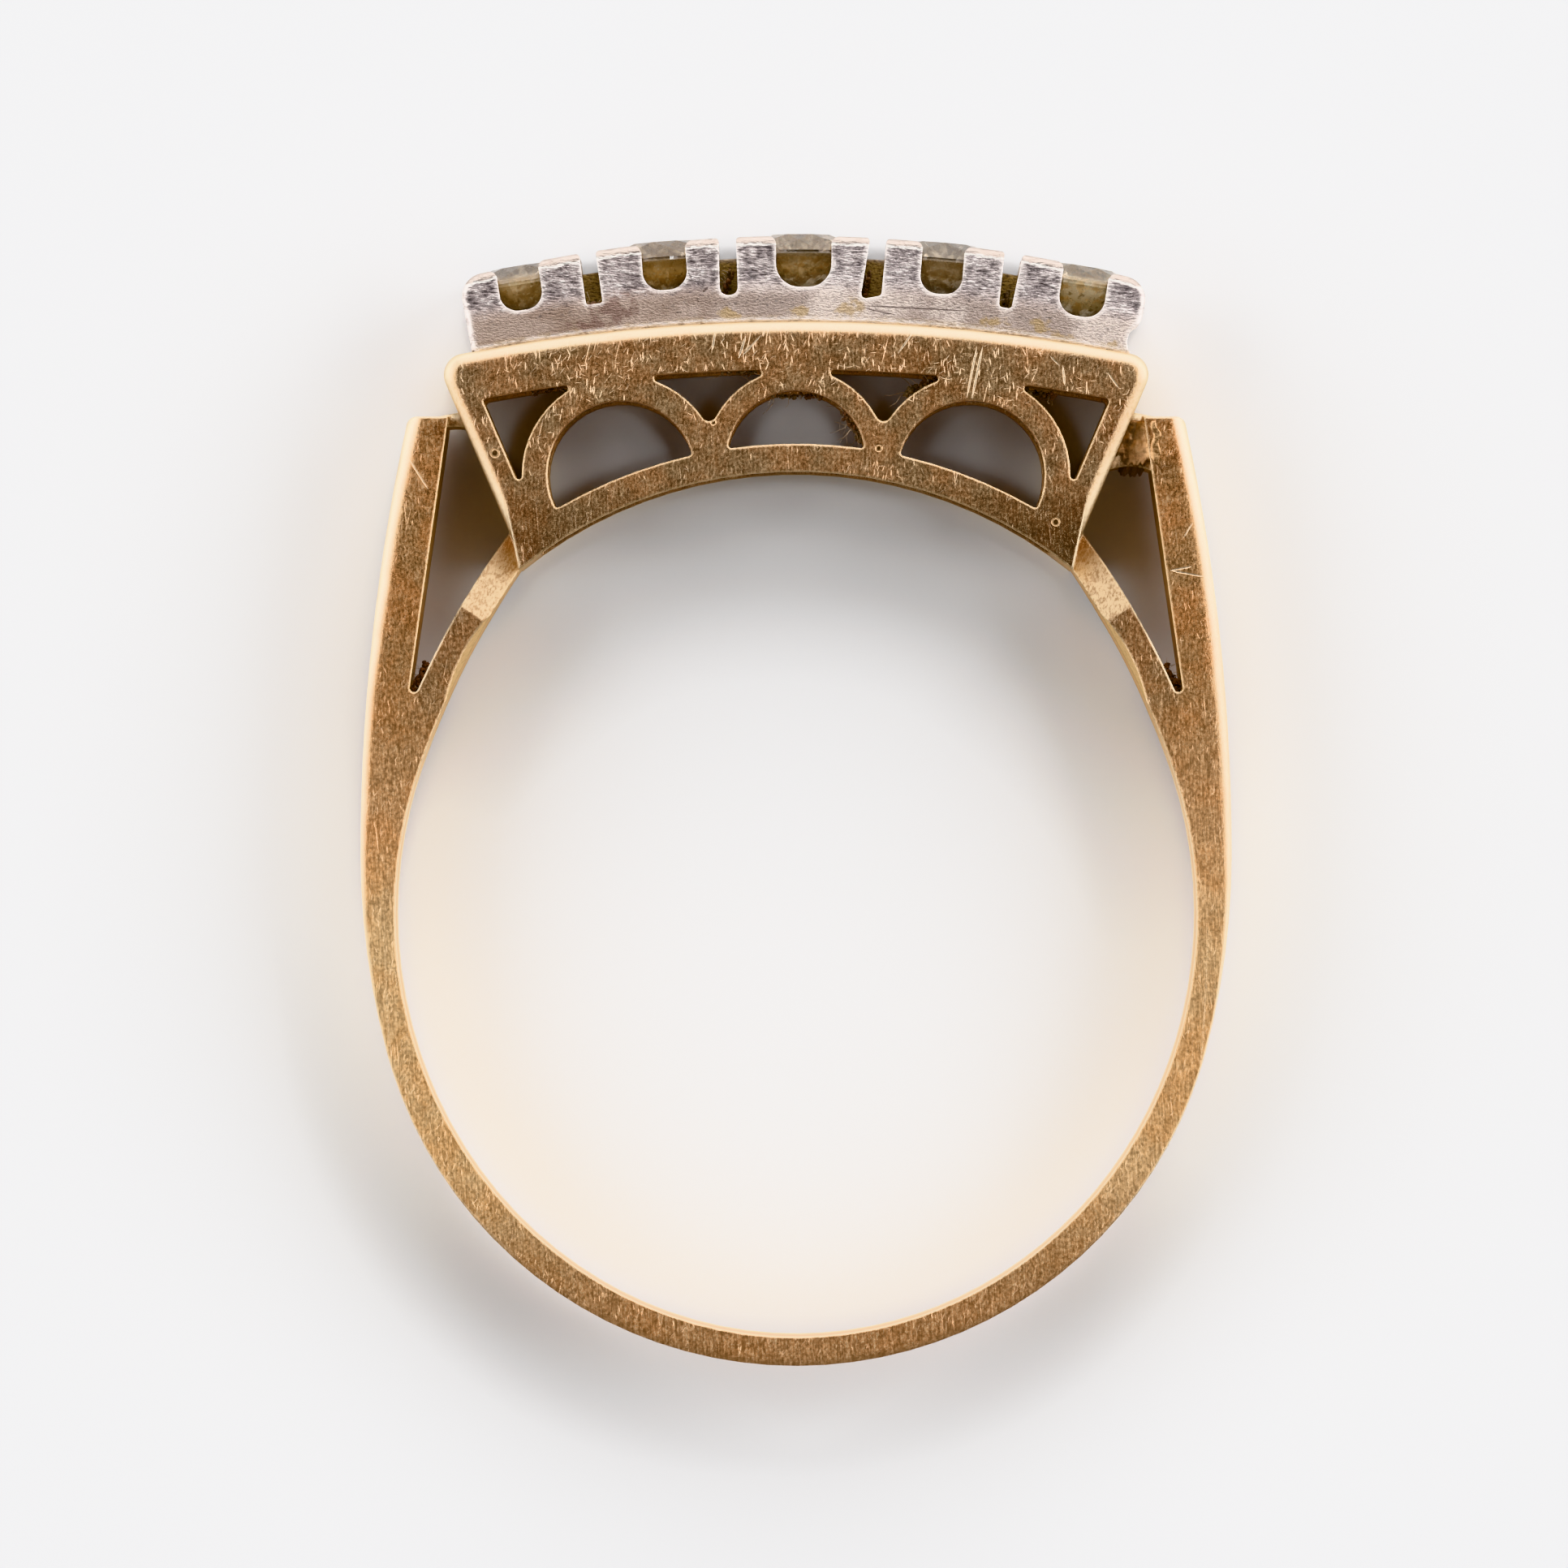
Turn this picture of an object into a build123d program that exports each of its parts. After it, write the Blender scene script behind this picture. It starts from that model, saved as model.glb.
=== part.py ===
"""A five stone ring with split shoulders, a pierced gallery and a straight row of stones.

The ring lies on its side. Z is the finger's axis and points up, the stones are towards +Y and
the back of the shank towards -Y. The origin is on the finger's axis, level with the lower face
of the gallery, which is what the ring rests on. All lengths are in millimetres.
"""

import os
from math import asin, atan, atan2, cos, degrees, hypot, radians, sin, sqrt, tan

from build123d import *

# Finger hole: an oval below, straighter flanks at the shoulders and a flat arch under the gallery
finger_width = 17.0
finger_drop = 8.975
finger_rise = 9.37
arch_radius = 9.31
oval_end_height = 3.05

# Shank
back_thickness = 0.6
side_thickness = 0.722
widest_height = 1.25
back_flattening = 0.242
back_depth = 2.1

# Split shoulders: an outer and an inner tine on each side
tine_top = 10.53
tine_lean = 1.01
outer_tine_top_width = 0.85
outer_tine_fork_width = 0.88
fork_height = 4.6
fork_radius = 0.09
inner_tine_width = 0.64
tine_corner_radius = 0.22
shoulder_depth = 2.8
shoulder_round = 0.38
shoulder_round_low_offset = 0.26
shoulder_round_top_offset = 0.06
tine_slope_length = 1.6
tine_slope_drop = 0.5
inner_bevel_height = 5.45
inner_bevel_radius = 4.0
inner_bevel_reach = 0.16
inner_bevel_depth = 0.4

# Gallery
gallery_top = 12.55
gallery_depth = 3.3
gallery_bend_radius = 36.62
gallery_shoulder_half = 7.248
gallery_shoulder_height = 10.84
gallery_knee_half = 5.97
gallery_knee_height = 7.85
gallery_foot_half = 5.85
gallery_corner_radius = 0.45
gallery_edge_round = 0.24
plate_thickness = 0.55
top_plate_thickness = 0.45
end_wall_thickness = 0.5

# Pierced work
upper_rail = 1.03
lower_rail = 0.58
lower_rail_radius = 10.05
side_bar = 0.58
saw_radius = 0.07
drill_radius = 0.16
smallest_window = 0.2
side_arch_offset = 3.7
side_arch_height = 9.3
side_arch_inner_radius = 1.56
side_arch_outer_radius = 2.1
middle_arch_height = 9.61
middle_arch_inner_radius = 1.47
middle_arch_outer_radius = 1.93

# Solder that joins each outer tine to the gallery
solder_depth = 2.3
solder_rise = 0.14
solder_sag = 0.2  # how far the hollow lower end reaches up, as a share of the drop
left_solder_drop = 0.26
right_solder_drop = 1.3

# Stones
stone_diameter = 2.35
stone_pitch = 3.01
crown_height = 0.35
crown_angle = 34.0
girdle_thickness = 0.07
pavilion_angle = 41.0
culet_radius = 0.07
star_meet_radius = 0.92
lower_half_meet_radius = 0.3

# Setting
setting_depth = 2.9
setting_offset = 0.13
setting_left_margin = 0.18
setting_right_margin = 0.25
setting_corner_radius = 0.5
setting_edge_round = 0.12
setting_height = 1.81
crest_radius = 28.66
claw_reach = 0.15
claw_gap = 1.1
bridge_drop = 0.42
bridge_overlap = 0.05
window_width = 0.92
window_foot = 0.7
window_corner = 0.42  # as a share of the window's width
slot_width = 0.36
slot_foot = 0.57
claw_corner_radius = 0.17  # beside a window
slot_lip_radius = 0.08  # beside a slot
end_notch_radius = 0.45
end_notch_depth = 0.22
end_notch_height = 0.3
light_hole_radius = 0.72

# Clearances
stone_gap = 0.02
solder_gap = 0.02

# One row for each seat, from left to right. Widths and feet are shares of the window's own
# sizes, a shift is a share of the pitch, rise is how far the table stands above the claws'
# crest as a share of the crown's height, and turn is in degrees.
SEAT_COLUMNS = ("turn", "rise", "window_width", "window_foot", "window_shift")
SEATS = [
    (8, 0.02, 0.98, 0.98, -0.025),
    (31, 0.16, 1.02, 1.09, 0.015),
    (17, 0.20, 1.28, 1.04, 0.01),
    (2, 0.17, 0.97, 1.0, 0.0),
    (26, 0.14, 1.06, 0.84, 0.02),
]

# One row for each slot between two seats: its widths at the crest and at the foot and the foot
# itself as shares of the slot's own sizes, its shift as a share of the pitch, its lean and its
# foot's tilt in degrees, and how round its foot is as a share of half its width there.
SLOT_COLUMNS = ("top_width", "foot_width", "foot", "shift", "lean", "tilt", "round")
SLOTS = [
    (0.98, 0.98, 1.07, -0.01, -1.4, 0, 0.35),
    (1.03, 1.06, 1.02, -0.03, 0.5, 0, 0.9),
    (0.98, 1.2, 0.94, 0.0, 5.0, 18, 0.45),
    (1.1, 0.75, 0.96, -0.02, 2.4, 0, 0.6),
]

EPSILON = 0.5  # how far a cutter runs past what it cuts, and how near an edge counts as on it
widest_rounding = 0.9  # as a share of a face's area over its edges' length
FACETS = 8
GIRDLE_SIDES = 2 * FACETS

middle_z = gallery_depth / 2
oval_half_width = finger_width / 2
outer_half_width = oval_half_width + side_thickness
bend_centre_y = gallery_top - gallery_bend_radius
crest_height = gallery_top + setting_height
crest_centre_y = crest_height - crest_radius
stone_radius = stone_diameter / 2


def rows(columns, table):
    """Gives a table's rows as dictionaries with the columns' names as keys."""
    return [dict(zip(columns, row)) for row in table]


def disc(centre, radius):
    """A round face."""
    return Pos(*centre) * Circle(radius)


def both_sides(face):
    """A face with its mirror image across the ring's middle."""
    return face + mirror(face, about=Plane.YZ)


def opened(face, radius):
    """A face with its convex corners rounded, as a saw blade or a file leaves them.

    The radius is at most what the face's own width leaves room for.
    """
    edge_length = sum(edge.length for edge in face.edges())
    reach = min(radius, widest_rounding * face.area / edge_length)
    return offset(offset(face, -reach), reach, kind=Kind.ARC)


def slab(face, depth):
    """A face drawn out to a depth, equally to both sides of the ring's middle plane."""
    return extrude(Pos(0, 0, middle_z) * face, depth / 2, both=True)


def front_and_back(cutter):
    """A cutter with its mirror image across the ring's middle plane."""
    return cutter + mirror(cutter, about=Plane.XY.offset(middle_z))


def tangent_circle(start, direction, end):
    """The centre and radius of the circle that leaves start along direction and meets end."""
    length = hypot(*direction)
    normal = (-direction[1] / length, direction[0] / length)
    chord = (end[0] - start[0], end[1] - start[1])
    radius = (chord[0] ** 2 + chord[1] ** 2) / (2 * (normal[0] * chord[0] + normal[1] * chord[1]))
    return (start[0] + radius * normal[0], start[1] + radius * normal[1]), radius


def height_on_circle(centre, radius, x):
    """The upper height of a circle at x."""
    return centre[1] + sqrt(radius**2 - (x - centre[0]) ** 2)


arch_centre = (0, finger_rise - arch_radius)
foot_point = (gallery_foot_half, height_on_circle(arch_centre, arch_radius, gallery_foot_half))
side_slope = (gallery_shoulder_half - gallery_knee_half) / (gallery_shoulder_height - gallery_knee_height)


def outer_arcs():
    """The outer outline's arcs on the right: back, flank and shoulder, each with its centre."""
    back_radius = outer_half_width - back_flattening
    back_centre = (0, back_radius - finger_drop - back_thickness)
    rise = widest_height - back_centre[1]
    flank_radius = (outer_half_width**2 + rise**2 - back_radius**2) / (2 * back_flattening)
    flank_centre = (outer_half_width - flank_radius, widest_height)
    tine_end = (outer_half_width - tine_lean, tine_top)
    shoulder_centre, shoulder_radius = tangent_circle((outer_half_width, widest_height), (0, 1), tine_end)
    return (back_centre, back_radius), (flank_centre, flank_radius), (shoulder_centre, shoulder_radius)


def outer_width_at(height):
    """The half width of the shoulders' outer outline at a height."""
    centre, radius = outer_arcs()[2]
    return centre[0] + sqrt(radius**2 - (height - centre[1]) ** 2)


def outer_outline():
    """The whole shank as a filled shape, closed by a straight line at the tines' top."""
    back, flank, shoulder = outer_arcs()
    back_centre, back_radius = back
    flank_centre, flank_radius = flank
    shoulder_centre, shoulder_radius = shoulder
    join_angle = degrees(atan2(back_centre[1] - flank_centre[1], back_centre[0] - flank_centre[0]))
    tine_end = (outer_half_width - tine_lean, tine_top)
    end_angle = degrees(atan2(tine_end[1] - shoulder_centre[1], tine_end[0] - shoulder_centre[0]))
    edges = [
        CenterArc(back_centre, back_radius, -90, join_angle + 90),
        CenterArc(flank_centre, flank_radius, join_angle, -join_angle),
        CenterArc(shoulder_centre, shoulder_radius, 0, end_angle),
        Line(tine_end, (0, tine_top)),
        Line((0, tine_top), (0, back_centre[1] - back_radius)),
    ]
    outline = both_sides(make_face(edges))
    corners = outline.vertices().group_by(Axis.Y)[-1]
    return fillet(corners, tine_corner_radius)


def oval_point_and_direction():
    """Where the finger hole leaves its oval on the right, and the direction it takes there."""
    angle = asin(oval_end_height / finger_drop)
    point = (oval_half_width * cos(angle), oval_end_height)
    return point, (-oval_half_width * sin(angle), finger_drop * cos(angle))


def finger_flank():
    """The centre and radius of the finger hole's straighter flank on the right."""
    return tangent_circle(*oval_point_and_direction(), foot_point)


def finger_hole():
    """The opening for the finger, as a filled shape."""
    spring = oval_point_and_direction()[0]
    below = Pos(0, spring[1] - finger_drop) * Rectangle(2 * finger_width, 2 * finger_drop)
    oval = Ellipse(oval_half_width, finger_drop) & below
    centre, radius = finger_flank()
    start = degrees(atan2(spring[1] - centre[1], spring[0] - centre[0]))
    end = degrees(atan2(foot_point[1] - centre[1], foot_point[0] - centre[0]))
    arch_start = degrees(atan2(foot_point[1] - arch_centre[1], foot_point[0]))
    edges = [
        CenterArc(centre, radius, start, end - start),
        CenterArc(arch_centre, arch_radius, arch_start, 90 - arch_start),
        Line((0, finger_rise), (0, spring[1])),
        Line((0, spring[1]), spring),
    ]
    return oval + both_sides(make_face(edges))


def shoulder_gap():
    """The gap between the right outer and inner tine, open towards the gallery."""
    top = (outer_half_width - tine_lean - outer_tine_top_width, tine_top)
    fork = (outer_width_at(fork_height) - outer_tine_fork_width, fork_height)
    run = ((fork[0] - top[0]) / (top[1] - fork[1]), -1)
    reach = outer_tine_fork_width + inner_tine_width
    above = (top[0] - run[0] * EPSILON, top[1] + EPSILON)
    below = (fork[0] + run[0] * reach, fork[1] - reach)
    inside = Polyline(above, below, (0, below[1]), (0, above[1]), close=True)
    centre, radius = finger_flank()
    return opened(make_face(inside) - disc(centre, radius + inner_tine_width), fork_radius)


def shank_outline():
    """The shank and its tines, seen along the finger's axis."""
    gaps = both_sides(shoulder_gap())
    head = gallery_space(end_wall_thickness / 2, 0)
    return outer_outline() - finger_hole() - gaps - head


def side_silhouette():
    """The shank seen from its side: thin in depth at the back and deeper at the shoulders."""
    bottom = -finger_drop - back_thickness - EPSILON
    top = tine_top + EPSILON
    corners = [
        (bottom, middle_z - back_depth / 2),
        (top, middle_z - shoulder_depth / 2),
        (top, middle_z + shoulder_depth / 2),
        (bottom, middle_z + back_depth / 2),
    ]
    return extrude(Plane.YZ * make_face(Polyline(*corners, close=True)), 2 * outer_half_width, both=True)


def shoulder_rounding():
    """The cutter that rounds the right outer tine's outer edges, fading out down the flank."""
    centre, radius = outer_arcs()[2]
    top_angle = asin((tine_top - widest_height) / radius)
    shift_x = shoulder_round_low_offset
    shift_y = (shoulder_round_top_offset - shift_x * cos(top_angle)) / sin(top_angle)
    side = 2 * shoulder_round + EPSILON
    kept = Pos(radius - side / 2, -side / 2) * Rectangle(side, side)
    corner = kept.vertices().sort_by(lambda vertex: vertex.X + vertex.Y)[-1]
    beyond = Pos(EPSILON, EPSILON) * kept - fillet(corner, shoulder_round)
    cutter = revolve(Plane.XZ * beyond, Axis.Z, 2 * degrees(top_angle))
    face_z = middle_z + shoulder_depth / 2
    place = Pos(centre[0] + shift_x, centre[1] + shift_y, face_z)
    cutter = place * Rot(0, 0, -degrees(top_angle) / 2) * cutter
    taper = atan((shoulder_depth - back_depth) / 2 / (tine_top + finger_drop + back_thickness))
    hinge = Pos(0, tine_top, face_z)
    return front_and_back(hinge * Rot(degrees(taper), 0, 0) * hinge.inverse() * cutter)


def tine_slope():
    """The cutter that lets the right inner tine's front and back faces slope down to the gallery."""
    centre, radius = finger_flank()
    foot_angle = atan2(foot_point[1] - centre[1], foot_point[0] - centre[0])
    along = (-sin(foot_angle), cos(foot_angle))
    middle = radius + inner_tine_width / 2
    foot = (centre[0] + middle * cos(foot_angle), centre[1] + middle * sin(foot_angle))
    end_drop = tine_slope_drop * (1 + EPSILON / tine_slope_length)
    corners = [
        (-tine_slope_length, 0),
        (EPSILON, -end_drop),
        (EPSILON, EPSILON),
        (-tine_slope_length, EPSILON),
    ]
    face_z = middle_z + shoulder_depth / 2
    side = Plane(origin=(*foot, face_z), x_dir=(*along, 0), z_dir=(along[1], -along[0], 0))
    wedge = side * make_face(Polyline(*corners, close=True))
    return front_and_back(extrude(wedge, inner_tine_width, both=True))


def inner_bevel():
    """The cutter that files the right inner tine's edges towards the finger hole."""
    centre, radius = finger_flank()
    angle = asin((inner_bevel_height - centre[1]) / radius)
    cone_radius = inner_bevel_radius - inner_bevel_reach
    from_centre = radius - cone_radius
    face_z = middle_z + shoulder_depth / 2
    place = (centre[0] + from_centre * cos(angle), centre[1] + from_centre * sin(angle), face_z)
    grow = inner_bevel_reach / inner_bevel_depth
    reach = inner_bevel_depth + EPSILON
    top = cone_radius + inner_bevel_reach + EPSILON * grow
    low = top - grow * reach
    cone = Cone(low, top, reach, align=(Align.CENTER, Align.CENTER, Align.MAX))
    return front_and_back(Pos(*place) * Pos(0, 0, EPSILON) * cone)


def shank():
    """The shank with its four tines, their outer edges round and the inner ones filed."""
    body = slab(shank_outline(), gallery_depth) & side_silhouette()
    for cutter in (shoulder_rounding(), tine_slope(), inner_bevel()):
        body = body - cutter - mirror(cutter, about=Plane.YZ)
    return body


def head_wedge():
    """The space between the gallery's two leaning sides, open above and below."""
    above = gallery_top + end_wall_thickness + EPSILON
    below = foot_point[1] - upper_rail - end_wall_thickness - EPSILON
    half_above = gallery_knee_half + side_slope * (above - gallery_knee_height)
    right = [
        (gallery_foot_half, below),
        foot_point,
        (gallery_knee_half, gallery_knee_height),
        (half_above, above),
    ]
    left = [(-x, y) for x, y in reversed(right)]
    return make_face(Polyline(*right, *left, close=True))


def gallery_space(side_inset, top_inset):
    """The gallery's outline drawn in from its sides and its top, and open below."""
    wedge = offset(head_wedge(), -side_inset) if side_inset else head_wedge()
    return wedge & disc((0, bend_centre_y), gallery_bend_radius - top_inset)


def arches():
    """The three arches as (centre, inner radius, outer radius)."""
    side = (side_arch_inner_radius, side_arch_outer_radius)
    return [
        ((-side_arch_offset, side_arch_height), *side),
        ((0, middle_arch_height), middle_arch_inner_radius, middle_arch_outer_radius),
        ((side_arch_offset, side_arch_height), *side),
    ]


def drilled(face):
    """An opening with sawn corners above and a drilled, rounder end below."""
    level = face.center().Y
    above = Pos(0, level + finger_width) * Rectangle(2 * finger_width, 2 * finger_width)
    return (opened(face, saw_radius) & above) + opened(face, drill_radius)


def windows():
    """The seven openings of the pierced plates: three half moons and four spandrels."""
    rail_centre = (0, finger_rise + lower_rail - lower_rail_radius)
    field = gallery_space(side_bar, upper_rail) - disc(rail_centre, lower_rail_radius)
    spandrels = field
    openings = []
    for centre, inner, outer in arches():
        spandrels = spandrels - disc(centre, outer)
        openings += [opened(face, saw_radius) for face in (field & disc(centre, inner)).faces()]
    for face in spandrels.faces():
        if face.area > smallest_window:
            inside = abs(face.center().X) < side_arch_offset
            openings.append(drilled(face) if inside else opened(face, saw_radius))
    return openings


def seat_frames():
    """Each seat's angle about the bend's centre and the height of its stone's girdle there."""
    crest_offset = crest_centre_y - bend_centre_y
    level = crest_height - bend_centre_y
    middle = (len(SEATS) - 1) / 2
    frames = []
    for index, seat in enumerate(rows(SEAT_COLUMNS, SEATS)):
        angle = ((index - middle) * stone_pitch + setting_offset) / level
        crest = crest_offset * cos(angle) + sqrt(crest_radius**2 - (crest_offset * sin(angle)) ** 2)
        frames.append((angle, crest + (seat["rise"] - 1) * crown_height))
    return frames


def on_bend(angle, radius):
    """The place at an angle and a radius about the bend's centre, turned to face outwards."""
    place = (radius * sin(angle), bend_centre_y + radius * cos(angle), 0)
    return Location(place, (0, 0, -degrees(angle)))


def seat_location(angle, radius):
    """As on_bend, in the middle plane and with Z along the stone's own axis."""
    return on_bend(angle, radius) * Location((0, 0, middle_z), (-90, 0, 0))


def light_holes(depth):
    """Round cutters along the stones' axes, through the gallery's top plate."""
    holes = []
    for frame in seat_frames():
        place = seat_location(frame[0], gallery_bend_radius)
        holes.append(place * Cylinder(light_hole_radius, depth))
    return holes


def gallery():
    """The pierced hollow box under the stones."""
    outline = gallery_space(0, 0) - disc(arch_centre, arch_radius)
    top_corners = outline.vertices().sort_by(Axis.Y)[-2:]
    box = slab(fillet(top_corners, gallery_corner_radius), gallery_depth)
    ends = box.edges().group_by(Axis.Z)
    rim = []
    for edge in [*ends[0], *ends[-1]]:
        middle = edge.center()
        if hypot(middle.X, middle.Y - arch_centre[1]) > arch_radius + EPSILON:
            rim.append(edge)
    box = fillet(rim, gallery_edge_round)
    room = gallery_space(end_wall_thickness, top_plate_thickness)
    box = box - slab(room, gallery_depth - 2 * plate_thickness)
    for window in windows():
        box = box - slab(window, gallery_depth + 2 * EPSILON)
    for hole in light_holes(2 * (top_plate_thickness + EPSILON)):
        box = box - hole
    return box


def solder(side, drop):
    """The solder between an outer tine and the gallery's side, with a hollow lower end."""
    tine_half = outer_half_width - tine_lean - outer_tine_top_width
    top = tine_top + solder_rise
    low = tine_top - drop
    bite = end_wall_thickness / 2
    tine_run = (outer_width_at(fork_height) - outer_tine_fork_width - tine_half) / (tine_top - fork_height)

    def gallery_half(height):
        return gallery_knee_half + side_slope * (height - gallery_knee_height) - bite

    def tine_side(height):
        return tine_half + tine_run * (tine_top - height) + bite

    edges = [
        Line((gallery_half(top), top), (tine_side(tine_top), tine_top)),
        Line((tine_side(tine_top), tine_top), (tine_side(low), low)),
        ThreePointArc(
            (tine_side(low), low),
            ((tine_side(low) + gallery_half(low)) / 2, low + solder_sag * drop),
            (gallery_half(low), low),
        ),
        Line((gallery_half(low), low), (gallery_half(top), top)),
    ]
    drawn = make_face(edges)
    return slab(drawn if side > 0 else mirror(drawn, about=Plane.YZ), solder_depth)


def ring_body():
    """All the gold: shank, tines, gallery and the solder that joins them."""
    return shank() + gallery() + solder(-1, left_solder_drop) + solder(1, right_solder_drop)


def seat_cutter(angle, girdle_place):
    """The room for one stone, the claws' undercut above it and the light hole below it."""
    crown_slope, pavilion_slope = half_slopes()
    outer = stone_radius + stone_gap
    claw_radius = stone_radius - claw_reach
    crown_rise = (stone_radius - claw_radius) * crown_slope + stone_gap * hypot(1, crown_slope)
    lip = stone_gap * hypot(1, crown_slope) - stone_gap * crown_slope
    low = -girdle_thickness - stone_gap * (hypot(1, pavilion_slope) - pavilion_slope)
    cone_low = low - (outer - light_hole_radius) * pavilion_slope
    bottom = gallery_bend_radius - girdle_place - EPSILON
    top = crest_radius + crest_centre_y - bend_centre_y - girdle_place + EPSILON
    profile = Polyline(
        (0, bottom),
        (light_hole_radius, bottom),
        (light_hole_radius, cone_low),
        (outer, low),
        (outer, lip),
        (claw_radius, crown_rise),
        (claw_radius, top),
        (0, top),
        close=True,
    )
    turned = revolve(Plane.XZ * make_face(profile), Axis.Z, 360)
    return seat_location(angle, girdle_place) * turned


def strip_face():
    """The setting's outline before its windows and slots are cut."""
    level = crest_height - bend_centre_y
    middle = (len(SEATS) - 1) / 2
    half = middle * stone_pitch + stone_radius
    left = (setting_offset - half - setting_left_margin) / level
    right = (setting_offset + half + setting_right_margin) / level
    shift = setting_offset / level
    reach = level + setting_height
    corners = [(0, bend_centre_y)]
    for angle in (left, right):
        corners.append((reach * sin(angle), bend_centre_y + reach * cos(angle)))
    crest_centre = (on_bend(shift, crest_centre_y - bend_centre_y)).position
    crest = disc((crest_centre.X, crest_centre.Y), crest_radius)
    sector = make_face(Polyline(*corners, close=True)) & crest
    outline = sector - disc((0, bend_centre_y), gallery_bend_radius + solder_gap)
    by_height = outline.vertices().sort_by(lambda vertex: hypot(vertex.X, vertex.Y - bend_centre_y))
    return fillet(by_height[-2:], setting_corner_radius), (crest_centre.X, crest_centre.Y)


def window_shape(angle, seat):
    """A U shaped window between two claws."""
    width = window_width * seat["window_width"]
    foot = gallery_bend_radius + window_foot * seat["window_foot"]
    shifted = angle + seat["window_shift"] * stone_pitch / gallery_bend_radius
    shape = Pos(0, setting_height / 2) * Rectangle(width, setting_height)
    shape = fillet(shape.vertices().group_by(Axis.Y)[0], window_corner * width)
    return on_bend(shifted, foot) * shape


def slot_shape(angle, slot):
    """A saw cut between two seats."""
    shifted = angle + slot["shift"] * stone_pitch / gallery_bend_radius
    foot = gallery_bend_radius + slot_foot * slot["foot"]
    height = setting_height - slot_foot
    top, low = (slot_width * slot[name] / 2 for name in ("top_width", "foot_width"))
    grow = (top - low) / height
    reach = height + EPSILON
    slope = low * tan(radians(slot["tilt"]))
    corners = [(-low, -slope), (low, slope), (low + grow * reach, reach), (-low - grow * reach, reach)]
    shape = make_face(Polyline(*corners, close=True))
    shape = fillet(shape.vertices().sort_by(Axis.Y)[:2], slot["round"] * low)
    return on_bend(shifted, foot) * Rot(0, 0, -slot["lean"]) * shape


def worn_corners(outline, shapes, radius):
    """What is worn off the strip's upper corners beside the shapes that are cut into it."""
    sharp = outline
    for shape in shapes:
        sharp = sharp - shape
    level = gallery_bend_radius + end_notch_height
    worn = []
    for face in (sharp - opened(sharp, radius)).faces():
        middle = face.center()
        if hypot(middle.X, middle.Y - bend_centre_y) > level:
            worn.append(face)
    return worn


def end_notch():
    """The bite that is filed out of the strip's right end, above its foot."""
    level = crest_height - bend_centre_y
    right = setting_offset + (len(SEATS) - 1) / 2 * stone_pitch + stone_radius + setting_right_margin
    place = on_bend(right / level, gallery_bend_radius + end_notch_height)
    return place * Pos(end_notch_radius - end_notch_depth, 0) * Circle(end_notch_radius)


def setting():
    """The white metal strip with its seats, claws, windows and slots."""
    outline, crest_centre = strip_face()
    strip = slab(outline, setting_depth)
    ends = strip.edges().group_by(Axis.Z)
    foot = gallery_bend_radius + solder_gap + setting_corner_radius
    rim = []
    for edge in [*ends[0], *ends[-1]]:
        if hypot(edge.center().X, edge.center().Y - bend_centre_y) > foot:
            rim.append(edge)
    strip = fillet(rim, setting_edge_round)
    crest_band = disc(crest_centre, crest_radius + EPSILON) - disc(crest_centre, crest_radius - bridge_drop)
    strip = strip - slab(crest_band, claw_gap)
    frames = seat_frames()
    claw_windows = []
    for frame, seat in zip(frames, rows(SEAT_COLUMNS, SEATS)):
        strip = strip - seat_cutter(*frame)
        claw_windows.append(window_shape(frame[0], seat))
    saw_cuts = []
    for left, right, slot in zip(frames, frames[1:], rows(SLOT_COLUMNS, SLOTS)):
        saw_cuts.append(slot_shape((left[0] + right[0]) / 2, slot))
    filed = [*claw_windows, end_notch()]
    corners = worn_corners(outline, filed, claw_corner_radius)
    corners += worn_corners(outline, saw_cuts, slot_lip_radius)
    for shape in [*filed, *corners]:
        strip = strip - slab(shape, gallery_depth)
    bridge = claw_gap - 2 * bridge_overlap
    for shape in saw_cuts:
        strip = strip - (slab(shape, gallery_depth) - slab(shape, bridge))
    return strip


def half_slopes():
    """The slopes of the upper and the lower half facets, from where they meet the main ones."""
    turn = cos(radians(180 / FACETS))
    half_turn = cos(radians(90 / FACETS))
    slopes = []
    for main_angle, meet in ((crown_angle, star_meet_radius), (pavilion_angle, lower_half_meet_radius)):
        main_height = (stone_radius - meet * turn) * tan(radians(main_angle))
        slopes.append(main_height / ((stone_radius - meet) * half_turn))
    return slopes


def facet_cut(stone, turn, slope, inner, height, sign):
    """Cuts a stone with one facet that passes through a radius and a height at a given turn."""
    normal = (slope * cos(turn), slope * sin(turn), sign)
    origin = (inner * cos(turn), inner * sin(turn), height)
    return split(stone, bisect_by=Plane(origin=origin, z_dir=normal), keep=Keep.BOTTOM)


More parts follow.
